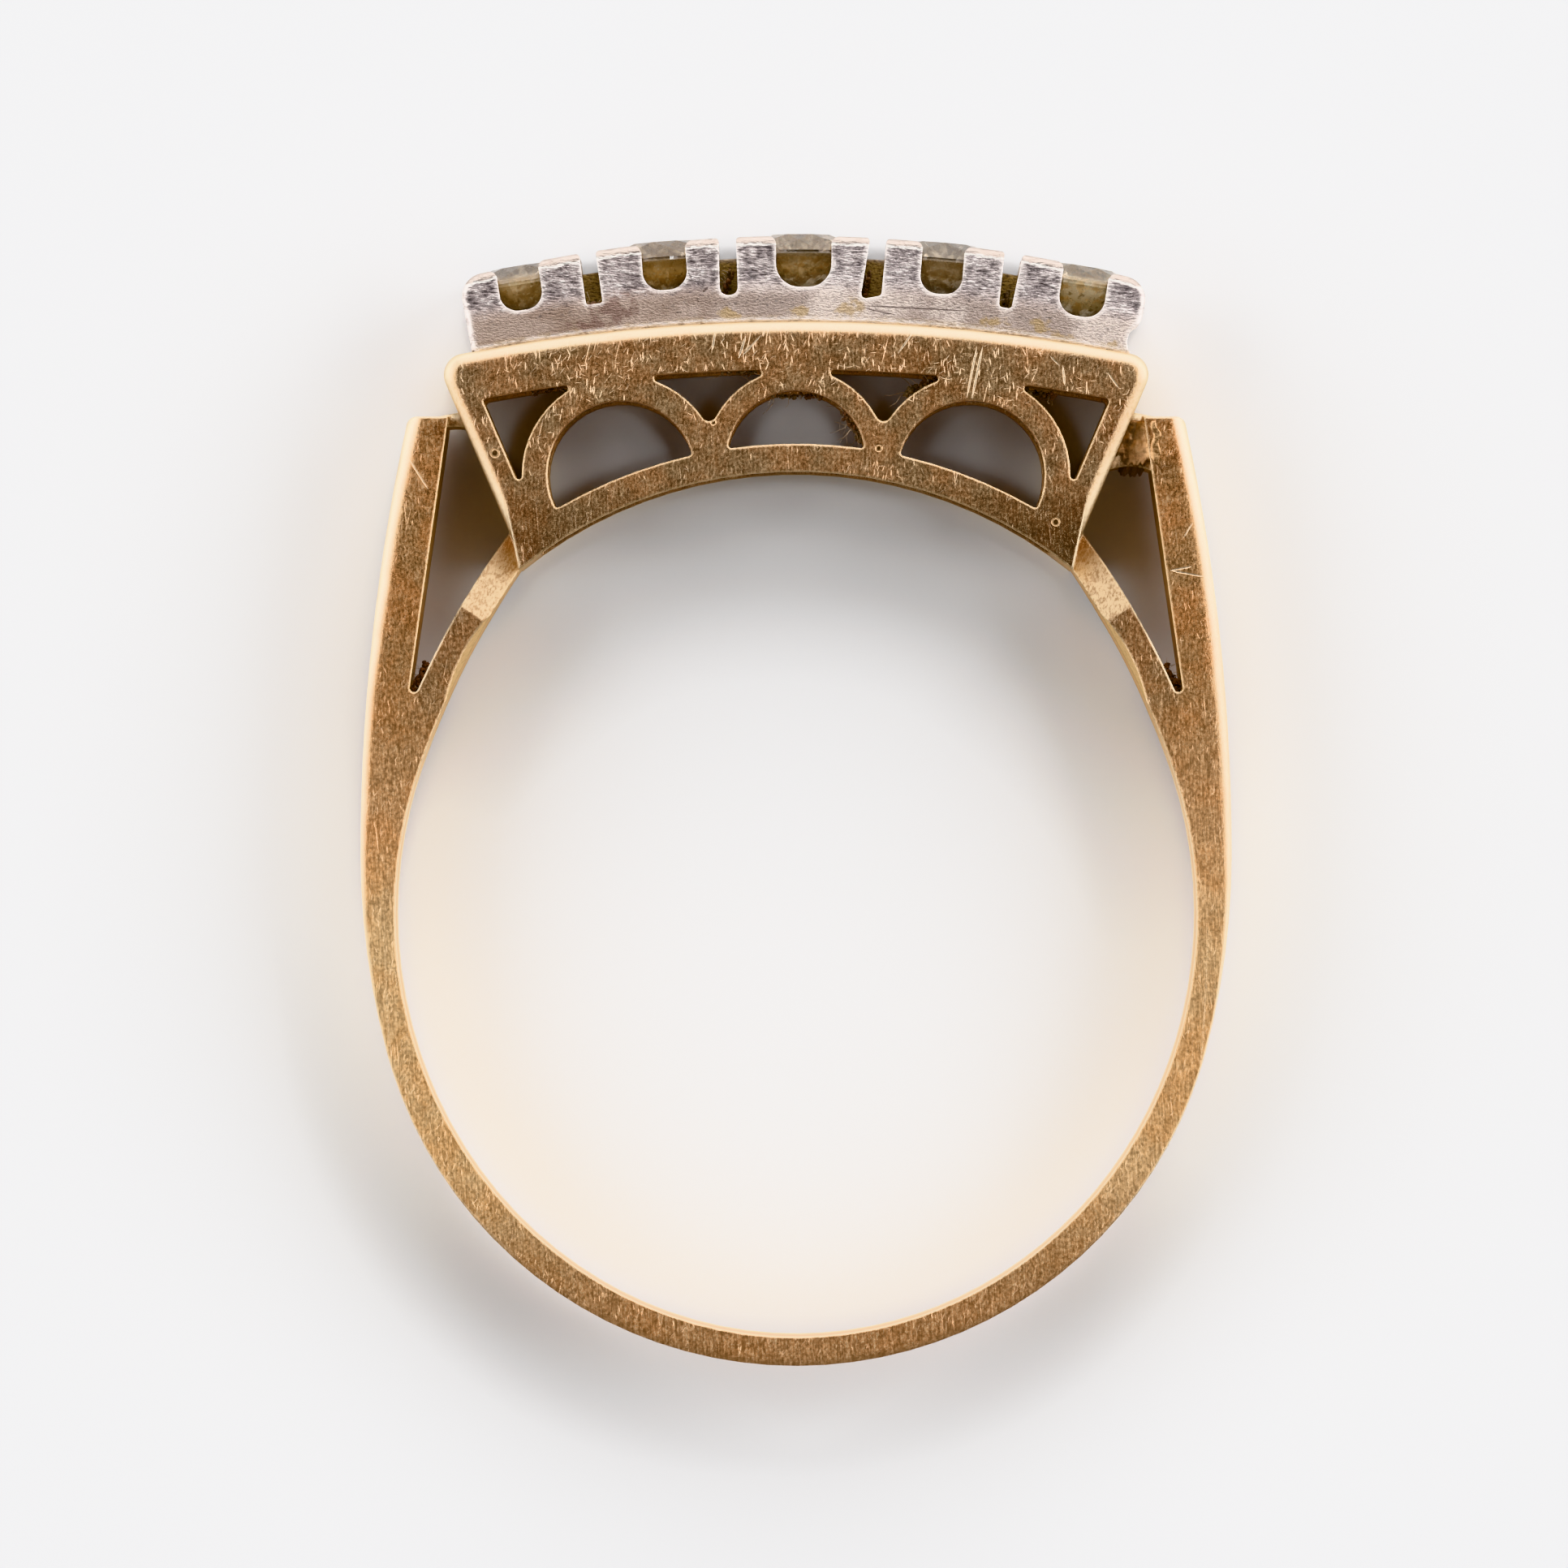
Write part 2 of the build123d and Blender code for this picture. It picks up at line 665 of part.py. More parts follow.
def brilliant():
    """One round brilliant cut stone with its girdle's top at Z 0 and its table upwards."""
    pavilion_slope = tan(radians(pavilion_angle))
    depth = girdle_thickness + (stone_radius - culet_radius) * pavilion_slope
    stone = extrude(RegularPolygon(stone_radius, GIRDLE_SIDES), crown_height)
    stone = stone + extrude(RegularPolygon(stone_radius, GIRDLE_SIDES), -depth)
    crown_slope = tan(radians(crown_angle))
    upper_slope, lower_slope = half_slopes()
    half_radius = stone_radius * cos(radians(90 / FACETS))
    table_radius = (stone_radius - crown_height / crown_slope) * cos(radians(180 / FACETS))
    meet_height = (stone_radius - star_meet_radius * cos(radians(180 / FACETS))) * crown_slope
    star_slope = (crown_height - meet_height) / (star_meet_radius - table_radius)
    step = radians(360 / FACETS)
    for index in range(FACETS):
        turn = index * step
        stone = facet_cut(stone, turn, crown_slope, stone_radius, 0, 1)
        stone = facet_cut(stone, turn, pavilion_slope, stone_radius, -girdle_thickness, -1)
        stone = facet_cut(stone, turn + step / 2, star_slope, table_radius, crown_height, 1)
        for side in (-step / 4, step / 4):
            stone = facet_cut(stone, turn + side, upper_slope, half_radius, 0, 1)
            stone = facet_cut(stone, turn + side, lower_slope, half_radius, -girdle_thickness, -1)
    return stone


def stones():
    """The five stones in their seats, from left to right."""
    cut = brilliant()
    placed = []
    for (angle, girdle), seat in zip(seat_frames(), rows(SEAT_COLUMNS, SEATS)):
        placed.append(seat_location(angle, girdle) * Rot(0, 0, seat["turn"]) * cut)
    return placed


os.makedirs("parts", exist_ok=True)
nodes = {"ring_body": ring_body(), "setting": setting()}
for number, stone in enumerate(stones(), 1):
    nodes[f"stone_{number}"] = stone
for name, shape in nodes.items():
    export_step(shape, f"parts/{name}.step")
    print(name, "solids", len(shape.solids()), "volume", round(shape.volume, 3))
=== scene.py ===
"""Dresses the five stone ring: gold with wear and with painted light and shade, a pitted white metal
setting, clouded stones and dirt.

Lengths are named in millimetres and turned into metres with MM. The ring lies on its side, its
stones towards +Y, and the camera looks straight down along the finger's axis.
"""

import random
from math import cos, pi, radians, sin

import bmesh
import bpy
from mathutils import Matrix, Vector, noise


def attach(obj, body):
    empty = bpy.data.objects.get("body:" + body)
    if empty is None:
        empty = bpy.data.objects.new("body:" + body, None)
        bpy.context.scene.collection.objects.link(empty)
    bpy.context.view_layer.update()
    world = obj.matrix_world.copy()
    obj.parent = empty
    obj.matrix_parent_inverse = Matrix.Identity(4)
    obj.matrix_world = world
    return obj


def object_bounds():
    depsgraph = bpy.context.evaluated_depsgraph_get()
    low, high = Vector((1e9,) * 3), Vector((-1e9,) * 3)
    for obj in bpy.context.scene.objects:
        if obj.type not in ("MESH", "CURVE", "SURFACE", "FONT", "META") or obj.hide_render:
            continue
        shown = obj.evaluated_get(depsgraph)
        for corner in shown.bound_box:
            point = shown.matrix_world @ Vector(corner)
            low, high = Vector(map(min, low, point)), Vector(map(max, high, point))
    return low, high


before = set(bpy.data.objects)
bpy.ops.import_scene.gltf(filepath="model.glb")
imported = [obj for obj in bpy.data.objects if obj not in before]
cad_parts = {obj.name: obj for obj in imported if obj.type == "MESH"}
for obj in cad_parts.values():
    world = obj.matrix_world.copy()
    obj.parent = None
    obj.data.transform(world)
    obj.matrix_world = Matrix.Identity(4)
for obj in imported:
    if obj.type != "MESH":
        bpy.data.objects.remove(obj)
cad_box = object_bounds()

MM = 0.001

# Camera, as the photograph shows the ring
CAMERA_X = -0.257
CAMERA_Y = 2.756
CAMERA_DISTANCE = 280.0
FRAME_WIDTH = 33.156
SENSOR_WIDTH = 36.0
CLIP_START = 0.01
CLIP_END = 10.0

# Places on the ring. The gallery's sides and the tines' inner sides are straight and lean: a
# slant is how far such a side moves outwards for each millimetre of height.
MIDDLE_Z = 1.65
BEND_CENTRE_Y = -24.07
GIRDLE_RADIUS = 38.1
SETTING_FOOT_RADIUS = 36.64
GALLERY_SLANT = 0.43
GALLERY_SIDE = 2.62
TINE_SLANT = 0.13
CREST_CENTRE = (0.05, -14.3, 0.0)
CREST_RADIUS = 28.66
SHANK_CENTRE = (0.0, 4.0, 0.0)

# How flat patterns lean with the depth, so that they don't run straight down the sides
LEAN_X = 0.8
LEAN_Y = 0.6

# How widely the gold's edges look rounded
TINE_EDGE = 0.25
SHANK_EDGE = 0.09
SHANK_EDGE_Y = -3.0
TINE_EDGE_Y = 4.0

# How widely the other metals' edges look rounded, and how many samples all rounding takes
EDGE_SAMPLES = 4
WHITE_EDGE = 0.05
WHITE_RIM = 0.15
SOLDER_EDGE = 0.03

# Depth of the bumps in the surfaces, and how much scratches and pits go into them
GOLD_RELIEF = 0.008
GOLD_SAND_HEIGHT = 0.4
GOLD_SCRATCH_HEIGHT = -0.45
WHITE_RELIEF = 0.022
WHITE_PIT_HEIGHT = -3.5
SOLDER_RELIEF = 0.008
DIRT_RELIEF = 0.02

# How much of each noise goes into the gold's shade, the filed slopes and the setting's pits
GOLD_SHADE_BASE = 0.12
GOLD_SHADE = {"sand": 0.2, "grit": 0.34, "brushed": 0.22}
SLOPE_SHADE = {"blotches": 0.4, "sand": 0.6}
WHITE_PITS = {"ridges": 0.32, "flakes": 0.46, "filed": 0.22}

# How much some masks count: the tines' paler tone, which is painted light, the uneven edge of the
# flat faces and the setting's claws, pits, pale rim (wear and a painted highlight) and foot
TINE_TONE = 0.7
EDGE_UNEVEN = 0.035
PIT_LEVEL = 0.60
PIT_LEVEL_ON_CLAWS = -0.06
CLAW_TONE = 0.7
PIT_TONE = 0.8
POCK_TONE = 0.75
RIM_TONE = 0.6
FOOT_STAIN = 0.7
GRIME_ROUGHNESS = 0.3
# How far inside the claws' rounded tops the painted highlight line lies
CREST_HIGHLIGHT_DEPTH = 0.17

# Plain values of the solder, the dirt and the floor
SOLDER_METALLIC = 0.9
DIRT_ROUGHNESS = 0.85
FLOOR_ROUGHNESS = 0.9

# Stones
STONE_IOR = 1.9
STONE_CLEAR = 0.96
STONE_ROUGHNESS = 0.03

# Scratches on the front faces: one end, the other end and the width
SCRATCH_COLUMNS = ("x", "y", "end_x", "end_y", "width")
SCRATCHES = [
    (3.82, 12.0, 3.61, 10.93, 0.022),
    (3.94, 12.0, 3.72, 10.92, 0.026),
    (2.46, 12.3, 2.16, 11.87, 0.026),
    (-1.72, 12.29, -1.77, 11.95, 0.03),
    (-1.07, 12.22, -1.21, 11.77, 0.03),
    (-0.74, 12.25, -1.15, 11.8, 0.02),
    (5.64, 11.6, 5.68, 11.19, 0.022),
    (5.37, 11.81, 5.57, 11.6, 0.02),
    (6.59, 11.45, 6.83, 11.12, 0.02),
    (7.92, 7.28, 8.37, 7.36, 0.024),
    (7.92, 7.28, 8.62, 7.15, 0.024),
    (8.39, 8.28, 8.2, 7.97, 0.018),
    (-8.19, 9.63, -7.79, 9.0, 0.02),
]

# Dark scratches on the setting's foot
DARK_SCRATCHES = [
    (1.41, 12.88, 3.76, 12.76, 0.02),
    (1.42, 12.83, 2.11, 12.68, 0.02),
    (-2.44, 13.92, -2.22, 13.45, 0.02),
    (-1.97, 13.17, -1.87, 13.27, 0.04),
]

# Crowds of fine scratches: their angles in degrees, their width and length, how far apart they
# are as a multiple of their own size, and how much of each is at its full strength
CROWD_FULL = 0.3
CROWDS = {
    "short": ((0, 9, -8, 21, -24, 38), 0.009, 0.11, 11.0),
    "cross": ((60, -66, 84), 0.008, 0.09, 15.0),
    "long": ((-5, 13), 0.008, 0.45, 15.0),
}

# Round pits: place and radius
PIT_COLUMNS = ("x", "y", "radius")
PITS = [
    (-6.37, 9.76, 0.085),
    (5.49, 8.3, 0.075),
    (-1.75, 10.41, 0.055),
    (1.75, 9.86, 0.065),
]

# Stains on the setting's foot: place, half size and whether they are olive (1) or purple brown (0)
STAIN_COLUMNS = ("x", "y", "wide", "tall", "olive")
STAINS = [
    (-4.2, 12.45, 0.60, 0.16, 0),
    (-3.85, 12.80, 0.55, 0.34, 0),
    (-1.41, 12.68, 0.26, 0.20, 1),
    (0.08, 12.74, 0.26, 0.15, 1),
    (1.13, 12.80, 0.30, 0.22, 1),
    (4.19, 12.52, 0.30, 0.16, 1),
    (5.15, 12.44, 0.22, 0.20, 1),
    (5.55, 12.22, 0.30, 0.13, 1),
    (6.64, 12.05, 0.14, 0.13, 1),
]

# Reddish tarnish beside the solder and in the corners: place and reach, and how much of the
# reach is at its full strength
TARNISH_FULL = 0.2
TARNISH_COLUMNS = ("x", "y", "reach")
TARNISH = [
    (-7.35, 10.4, 1.0),
    (7.35, 9.9, 1.5),
    (-6.0, 7.9, 1.3),
    (6.0, 7.9, 1.5),
    (-1.2, 11.55, 0.6),
    (2.9, 11.5, 0.8),
]

# Dirt in the corners, strewn from one point to another: height, spread, size and how many lumps
# and hairs
DIRT_COLUMNS = ("name", "x", "y", "end_x", "end_y", "z", "spread", "size", "lumps", "hairs")
DIRT = [
    ("fork_left", -8.10, 4.74, -7.85, 5.25, 1.9, 0.08, 0.07, 70, 16),
    ("fork_right", 8.10, 4.74, 7.82, 5.25, 1.9, 0.08, 0.07, 70, 20),
    ("spandrel_right", 2.30, 11.02, 3.10, 11.32, 2.4, 0.10, 0.075, 80, 26),
    ("spandrel_left", -1.60, 11.47, -0.80, 11.47, 2.6, 0.04, 0.045, 36, 5),
    ("window_middle", -0.55, 10.98, 0.55, 10.98, 2.5, 0.05, 0.045, 45, 12),
    ("window_corner", 1.36, 10.05, 1.02, 10.68, 2.4, 0.07, 0.06, 60, 26),
    ("corner_left", -5.60, 11.06, -4.90, 11.15, 2.6, 0.04, 0.045, 30, 5),
    ("corner_right", 4.85, 11.08, 5.45, 10.98, 2.5, 0.07, 0.06, 50, 9),
    ("slot_1", -4.46, 12.87, -4.20, 12.92, 2.7, 0.06, 0.06, 30, 5),
    ("slot_2", -1.52, 13.10, -1.42, 13.60, 2.35, 0.06, 0.06, 44, 12),
    ("slot_3", 1.45, 13.15, 1.55, 13.60, 2.3, 0.06, 0.06, 34, 6),
    ("slot_4", 4.42, 12.85, 4.52, 13.2, 2.3, 0.05, 0.055, 26, 3),
]
DIRT_HALF_DEPTH = 0.35
LUMP_SIZES = (0.4, 1.0)
LUMP_STRETCHES = (0.6, 1.2)
LUMP_BUMPS = [(1.3, 0.9), (3.5, 0.5)]
NOISE_REACH = 9
HAIR_LENGTHS = (0.2, 0.6)
HAIR_THICKNESSES = (0.012, 0.022)
HAIR_STEPS = 9
HAIR_SIDES = 4
HAIR_BEND = 0.4
HAIR_TAPER = 0.6

# Rough solder between the gallery's right side and the outer tine. A row of waves or bumps says
# how close they are, how high they are and, for the waves, where their noise starts. It climbs
# from the gallery to the tine's face, and it thins out at its foot and its top.
SKIN_STEPS = 48
SKIN_TOP = 10.52
SKIN_FOOT = 9.32
SKIN_FOOT_HOLLOW = 0.25
SKIN_FOOT_WAVES = [(5, 0.25, 3.0), (17, 0.12, 7.0)]
SKIN_LEFT = 5.97
SKIN_LEFT_Y = 7.85
SKIN_RIGHT = 7.62
SKIN_RIGHT_Y = 10.53
SKIN_RIGHT_WAVE = 0.12
SKIN_RIGHT_WAVES = 4
SKIN_BUMPS = [(3.0, 1.0), (9.0, 0.4), (24.0, 0.15)]
SKIN_HALF_DEPTH = 1.19
SKIN_ROUGHNESS = 0.05
SKIN_SMOOTHED = 0.95
SKIN_CLIMB = 0.21
SKIN_CLIMB_RATE = 1.8
SKIN_CLIMB_START = 0.5
SKIN_FOOT_RATE = 5
SKIN_FOOT_LEAST = 0.2
SKIN_TOP_RATE = 12
SKIN_TOP_END = 1.02

# The line of solder under the setting
SEAM_STEPS = 64
SEAM_HALF_HEIGHT = 0.03
SEAM_LOW_Z = 0.22
SEAM_HIGH_Z = 3.08
SEAM_START = -0.187
SEAM_END = 0.194

# Lights: place and size in metres and power in watts
LIGHT_COLUMNS = ("name", "place", "size", "power")
LIGHTS = [
    ("light_left", (-0.42, 0.06, 0.30), 0.40, 2.4),
    ("light_right", (0.42, 0.08, 0.30), 0.40, 3.2),
    ("light_far", (0.03, 0.46, 0.30), 0.40, 3.0),
]

# The surrounding's colour, and its strength as smooth steps by height and along Y: where each
# starts and ends, and its values there
SKY_COLOUR = (1.0, 0.985, 0.96, 1.0)
SKY_BY_HEIGHT = (0.30, 0.88, 1.05, 0.12)
SKY_BY_SIDE = (-0.7, 0.1, 0.5, 1.0)

# The floor's half width in metres and its colour
FLOOR_HALF = 1.5
FLOOR_COLOUR = (0.62, 0.62, 0.63, 1.0)

# Noises: the size of their lumps, their detail and roughness and, for streaks, whether they lean
# with the depth, their turn in degrees and how much they are stretched along each axis
GRAINS = {
    "patches": (1.1, 4.0, 0.6),
    "tarnish": (0.45, 4.0, 0.5),
    "grit": (0.021, 1.0, 0.5),
    "sand": (0.05, 3.0, 0.6, True, 4, (1.0, 1.5, 1.0)),
    "brushed": (1.0, 2.0, 0.5, True, -3, (0.028, 0.45, 0.5)),
    "blotches": (0.33, 4.0, 0.55),
    "crowd": (0.7, 2.0, 0.5),
    "filed": (0.05, 3.0, 0.7, False, 4, (1.7, 0.8, 1.0)),
    "flakes": (0.20, 4.0, 0.7, False, -3, (1.3, 0.8, 1.0)),
    "ridges": (1.0, 3.0, 0.6, False, 4, (0.17, 0.045, 0.4)),
    "pocks": (0.07, 3.0, 0.65, False, 2, (1.6, 0.8, 1.0)),
    "broad": (0.9, 2.0, 0.5),
    "stain_edge": (0.2, 4.0, 0.5),
    "crest": (0.15, 2.0, 0.5),
    "solder": (0.07, 4.0, 0.7),
    "solder_spots": (0.25, 3.0, 0.5),
    "dirt": (0.06, 4.0, 0.7),
    "dirt_broad": (0.8, 2.0, 0.5),
    "lint": (0.2, 3.0, 0.5),
    "stone_dirt": (0.26, 5.0, 0.7),
    "stone_flecks": (0.09, 3.0, 0.6),
    "stone_blots": (0.17, 5.0, 0.7),
    "crown": (0.3, 4.0, 0.5),
}

# Smooth steps: where each starts and ends, and its values there where they aren't 0 and 1
STEPS = {
    # Single marks: along a scratch, across it, over a pit and over a stain
    "scratch_start": (0.0, 0.25, 0.3, 1.0),
    "scratch_end": (1.0, 0.75, 0.3, 1.0),
    "scratch_side": (0.4, 1.0, 1.0, 0.0),
    "pit_rim": (0.1, 0.35, 1.0, 0.0),
    "pit_floor": (0.5, 0.9, 1.0, 0.0),
    "stain": (1.0, 0.45),
    # Places on the gold, along x, y, a slant or a radius
    "in_from_gallery_side": (GALLERY_SIDE - 0.1, GALLERY_SIDE - 0.5),
    "past_gallery_side": (GALLERY_SIDE, GALLERY_SIDE + 0.12),
    "below_gallery_rim": (SETTING_FOOT_RADIUS - 0.45, SETTING_FOOT_RADIUS - 0.75),
    "above_gallery_foot": (7.0, 7.6),
    "on_tines": (8.6, 8.8),
    "gallery_edge": (8.2, 10.4, 0.07, 0.31),
    "gallery_edge_top": (10.6, 11.4, 1.0, 0.75),
    "right_edge": (-1.0, 1.0, 0.0, 0.12),
    "right_edge_fade": (9.5, 5.0),
    "back_edge": (-5.5, -8.5, 0.0, 0.22),
    "fine_edge": (-8.0, 2.0, 0.04, 0.075),
    "fork_side": (9.1, 8.9),
    "fork_foot": (4.3, 4.7),
    "fork_top": (8.2, 7.9),
    "tine_top": (7.2, 7.4),
    "slope_foot": (5.6, 5.9),
    "slope_side": (7.6, 7.3),
    "slope_top": (8.0, 7.6),
    # Leans of the gold's surface
    "outward": (0.01, 0.12),
    "upward": (0.0, 0.05),
    "off_middle": (0.0, 0.3, 1.0, 0.0),
    "turned": (0.992, 0.89),
    "cut_face": (0.996, 0.982, 0.0, 0.85),
    "wall": (0.6, 0.2),
    # Painted highlight where the surface leans outwards, near the outer edges
    "painted_highlight": (0.10, 0.5),
    # Painted shade on the rounded outer edge
    "rolled_edge_shade": (0.0, 0.3),
    "underside": (0.0, -0.4),
    # The gold's tones: the steps along x and y are painted light and shade, the patches and the tarnish
    # its own colour
    "patches": (0.38, 0.62),
    "to_flank": (6.0, 3.0),
    "to_shank": (2.5, -1.0),
    "shank_right": (-2.0, 6.0, 1.0, 0.7),
    "to_back": (-5.0, -9.0, 0.0, 0.7),
    "tarnish": (0.35, 0.6),
    # Painted shade in the recessed corners at the gallery's foot
    "foot_top": (9.4, 7.8),
    "foot_side": (6.6, 6.2),
    "foot_low": (6.9, 7.3),
    "foot_right": (-6.0, 5.0, 0.35, 0.75),
    # The gold's scratches and wear, and the painted light and shade on its edges and walls
    "uneven": (6.5, 9.0, 0.05, 0.22),
    "crowd": (0.35, 0.6, 0.35, 1.0),
    "crowd_above": (9.0, 11.6, 0.5, 1.0),
    "cross_scratches": (6.0, 9.0),
    "brushed_line": (0.56, 0.42),
    "brushed_below": (8.0, 3.0, 0.0, 0.30),
    "deep": (0.50, 0.40),
    "deep_above": (3.0, 9.5, 0.45, 0.7),
    "light": (0.51, 0.60),
    "light_back": (-7.0, -4.0, 0.9, 0.6),
    # Painted highlight: fades out at the back
    "painted_highlight_low": (-7.5, -4.5),
    # Pale edges: wear and a painted highlight
    "wear_and_painted_light": (0.36, 0.52),
    # Painted light and shade on the walls: pale low down, more orange deeper in
    "wall_below": (5.0, 2.0),
    "wall_middle": (1.1, 0.1, 0.0, 0.55),
    # Painted shade on the rounded outer edge: only at the back
    "rolled_edge_shade_back": (-5.0, -8.0),
    # Painted highlight: weaker on the walls than on the edges
    "painted_highlight_on_wall": (0.0, 1.0, 0.8, 0.3),
    "filed_slope": (0.42, 0.55),
    "slope_not_wall": (0.0, 0.6, 0.8, 0.0),
    "arch_top": (9.6, 10.0),
    # Dirt and painted shade deep inside the gallery
    "inside_depth": (1.5, 1.3),
    "inside_side": (7.3, 6.6),
    "inside_low": (7.0, 8.0),
    "rubbed": (0.52, 0.42),
    "gold_rough": (0.3, 0.7, 0.30, 0.42),
    "turned_rough": (0.0, 1.0, 0.0, 0.12),
    "shank_rough": (6.0, 0.0, 0.0, 0.08),
    "back_rough": (-8.0, -5.0, 0.2, 1.0),
    # The white metal, first by its rise above the setting's foot
    "claws": (0.5, 0.95),
    "pocks_low": (0.2, 0.4),
    "foot_dirt": (0.16, 0.03),
    # Dirt and painted shade deep inside the setting
    "grime_and_shade_top": (1.6, 1.2),
    "grime_and_shade_depth": (1.38, 1.25),
    "ends": (6.4, 6.55),
    "end_outward": (0.5, 1.5),
    "white_turned": (0.99, 0.90),
    "rim": (0.999, 0.975),
    "in_from_rim": (0.9, 0.1),
    "pitted": (-0.05, 0.06),
    "bright_pits": (0.47, 0.38),
    "white_fine": (0.36, 0.62),
    "white_broad": (0.38, 0.62, 0.0, 0.65),
    "white_left": (0.0, -3.5, 0.0, 0.6),
    "claw_flakes": (0.4, 0.6),
    "pocks": (0.58, 0.66),
    "pocks_broad": (0.42, 0.55, 0.2, 1.0),
    "stain_edge": (0.3, 0.7, -0.45, 0.45),
    "foot_flakes": (0.4, 0.55),
    "rim_flakes": (0.64, 0.5),
    "crest_wave": (0.35, 0.65, -0.015, 0.015),
    # A painted shade band and a painted highlight line on the claws' rounded tops
    "crest_painted_shade": (CREST_RADIUS - 0.16, CREST_RADIUS - 0.12),
    "crest_painted_highlight": (0.01, 0.035, 1.0, 0.0),
    "grime_and_shade": (0.35, 0.6),
    "white_rough": (0.3, 0.7, 0.36, 0.5),
    "grime_metal": (0.0, 1.0, 1.0, 0.2),
    # Solder, dirt and lint
    "solder_fine": (0.35, 0.62),
    "solder_spots": (0.4, 0.62),
    "flowed_fine": (0.38, 0.6),
    "solder_rough": (0.3, 0.7, 0.34, 0.5),
    "dirt_fine": (0.35, 0.65),
    "dirt_broad": (0.4, 0.6),
    "dirt_above": (5.5, 7.0),
    "lint": (0.35, 0.65),
    "lint_rough": (0.0, 1.0, 0.6, 0.8),
    # The stones, first by their height over the girdle
    "below_girdle": (0.0, -0.12),
    "girdle_edge": (-0.32, -0.12),
    "stone_dirt": (0.42, 0.58),
    "stone_flecks": (0.56, 0.66),
    "stone_blots": (0.47, 0.37),
    "crown": (0.4, 0.6),
    "stone_rough": (0.0, 1.0, 0.12, 0.35),
    "stone_clear": (0.0, 1.0, -0.52, -0.75),
}

# Colours
COLOURS = {
    # The gold's faces by place, each with a rosy twin: from the gallery to the tines, flank and shank they
    # are painted light and shade on one gold
    "gallery": (0.49, 0.31, 0.175),
    "gallery_rosy": (0.66, 0.355, 0.18),
    "tine": (0.82, 0.45, 0.21),
    "tine_rosy": (0.98, 0.46, 0.19),
    "flank": (0.84, 0.48, 0.24),
    "flank_rosy": (0.89, 0.455, 0.205),
    "shank": (1.0, 0.67, 0.35),
    "shank_rosy": (1.0, 0.59, 0.27),
    # Pale edges: wear and a painted highlight
    "edge_wear_and_highlight_low": (0.66, 0.44, 0.24),
    "edge_wear_and_highlight_high": (0.93, 0.70, 0.45),
    # Walls: painted light and shade, browner above and pale below
    "wall_above": (0.58, 0.38, 0.13),
    "wall_below": (1.0, 0.86, 0.60),
    "slope_low": (0.20, 0.13, 0.075),
    "slope_high": (0.39, 0.30, 0.19),
    "white_low": (0.40, 0.335, 0.30),
    "white_high": (0.60, 0.51, 0.46),
    "claw_high": (0.44, 0.39, 0.39),
    "claw_low": (0.24, 0.21, 0.22),
    # The setting's pale rims: wear and a painted highlight
    "white_rim_low": (0.50, 0.43, 0.41),
    "white_rim_high": (1.0, 0.92, 0.88),
    # Dirt and painted shade deep inside the setting
    "grime_and_shade_low": (0.08, 0.045, 0.015),
    "grime_and_shade_high": (0.36, 0.24, 0.09),
    "solder_low": (0.07, 0.035, 0.016),
    "solder_high": (0.20, 0.105, 0.05),
    "flowed_low": (0.24, 0.13, 0.06),
    "flowed_high": (0.60, 0.37, 0.19),
    "dirt_low_red": (0.040, 0.015, 0.008),
    "dirt_low_olive": (0.05, 0.034, 0.016),
    "dirt_high_red": (0.17, 0.075, 0.035),
    "dirt_high_olive": (0.21, 0.14, 0.075),
    "lint_low": (0.30, 0.20, 0.12),
    "lint_high": (0.62, 0.52, 0.40),
    "crown_pale": (0.55, 0.46, 0.35),
    "crown_brown": (0.36, 0.29, 0.21),
}

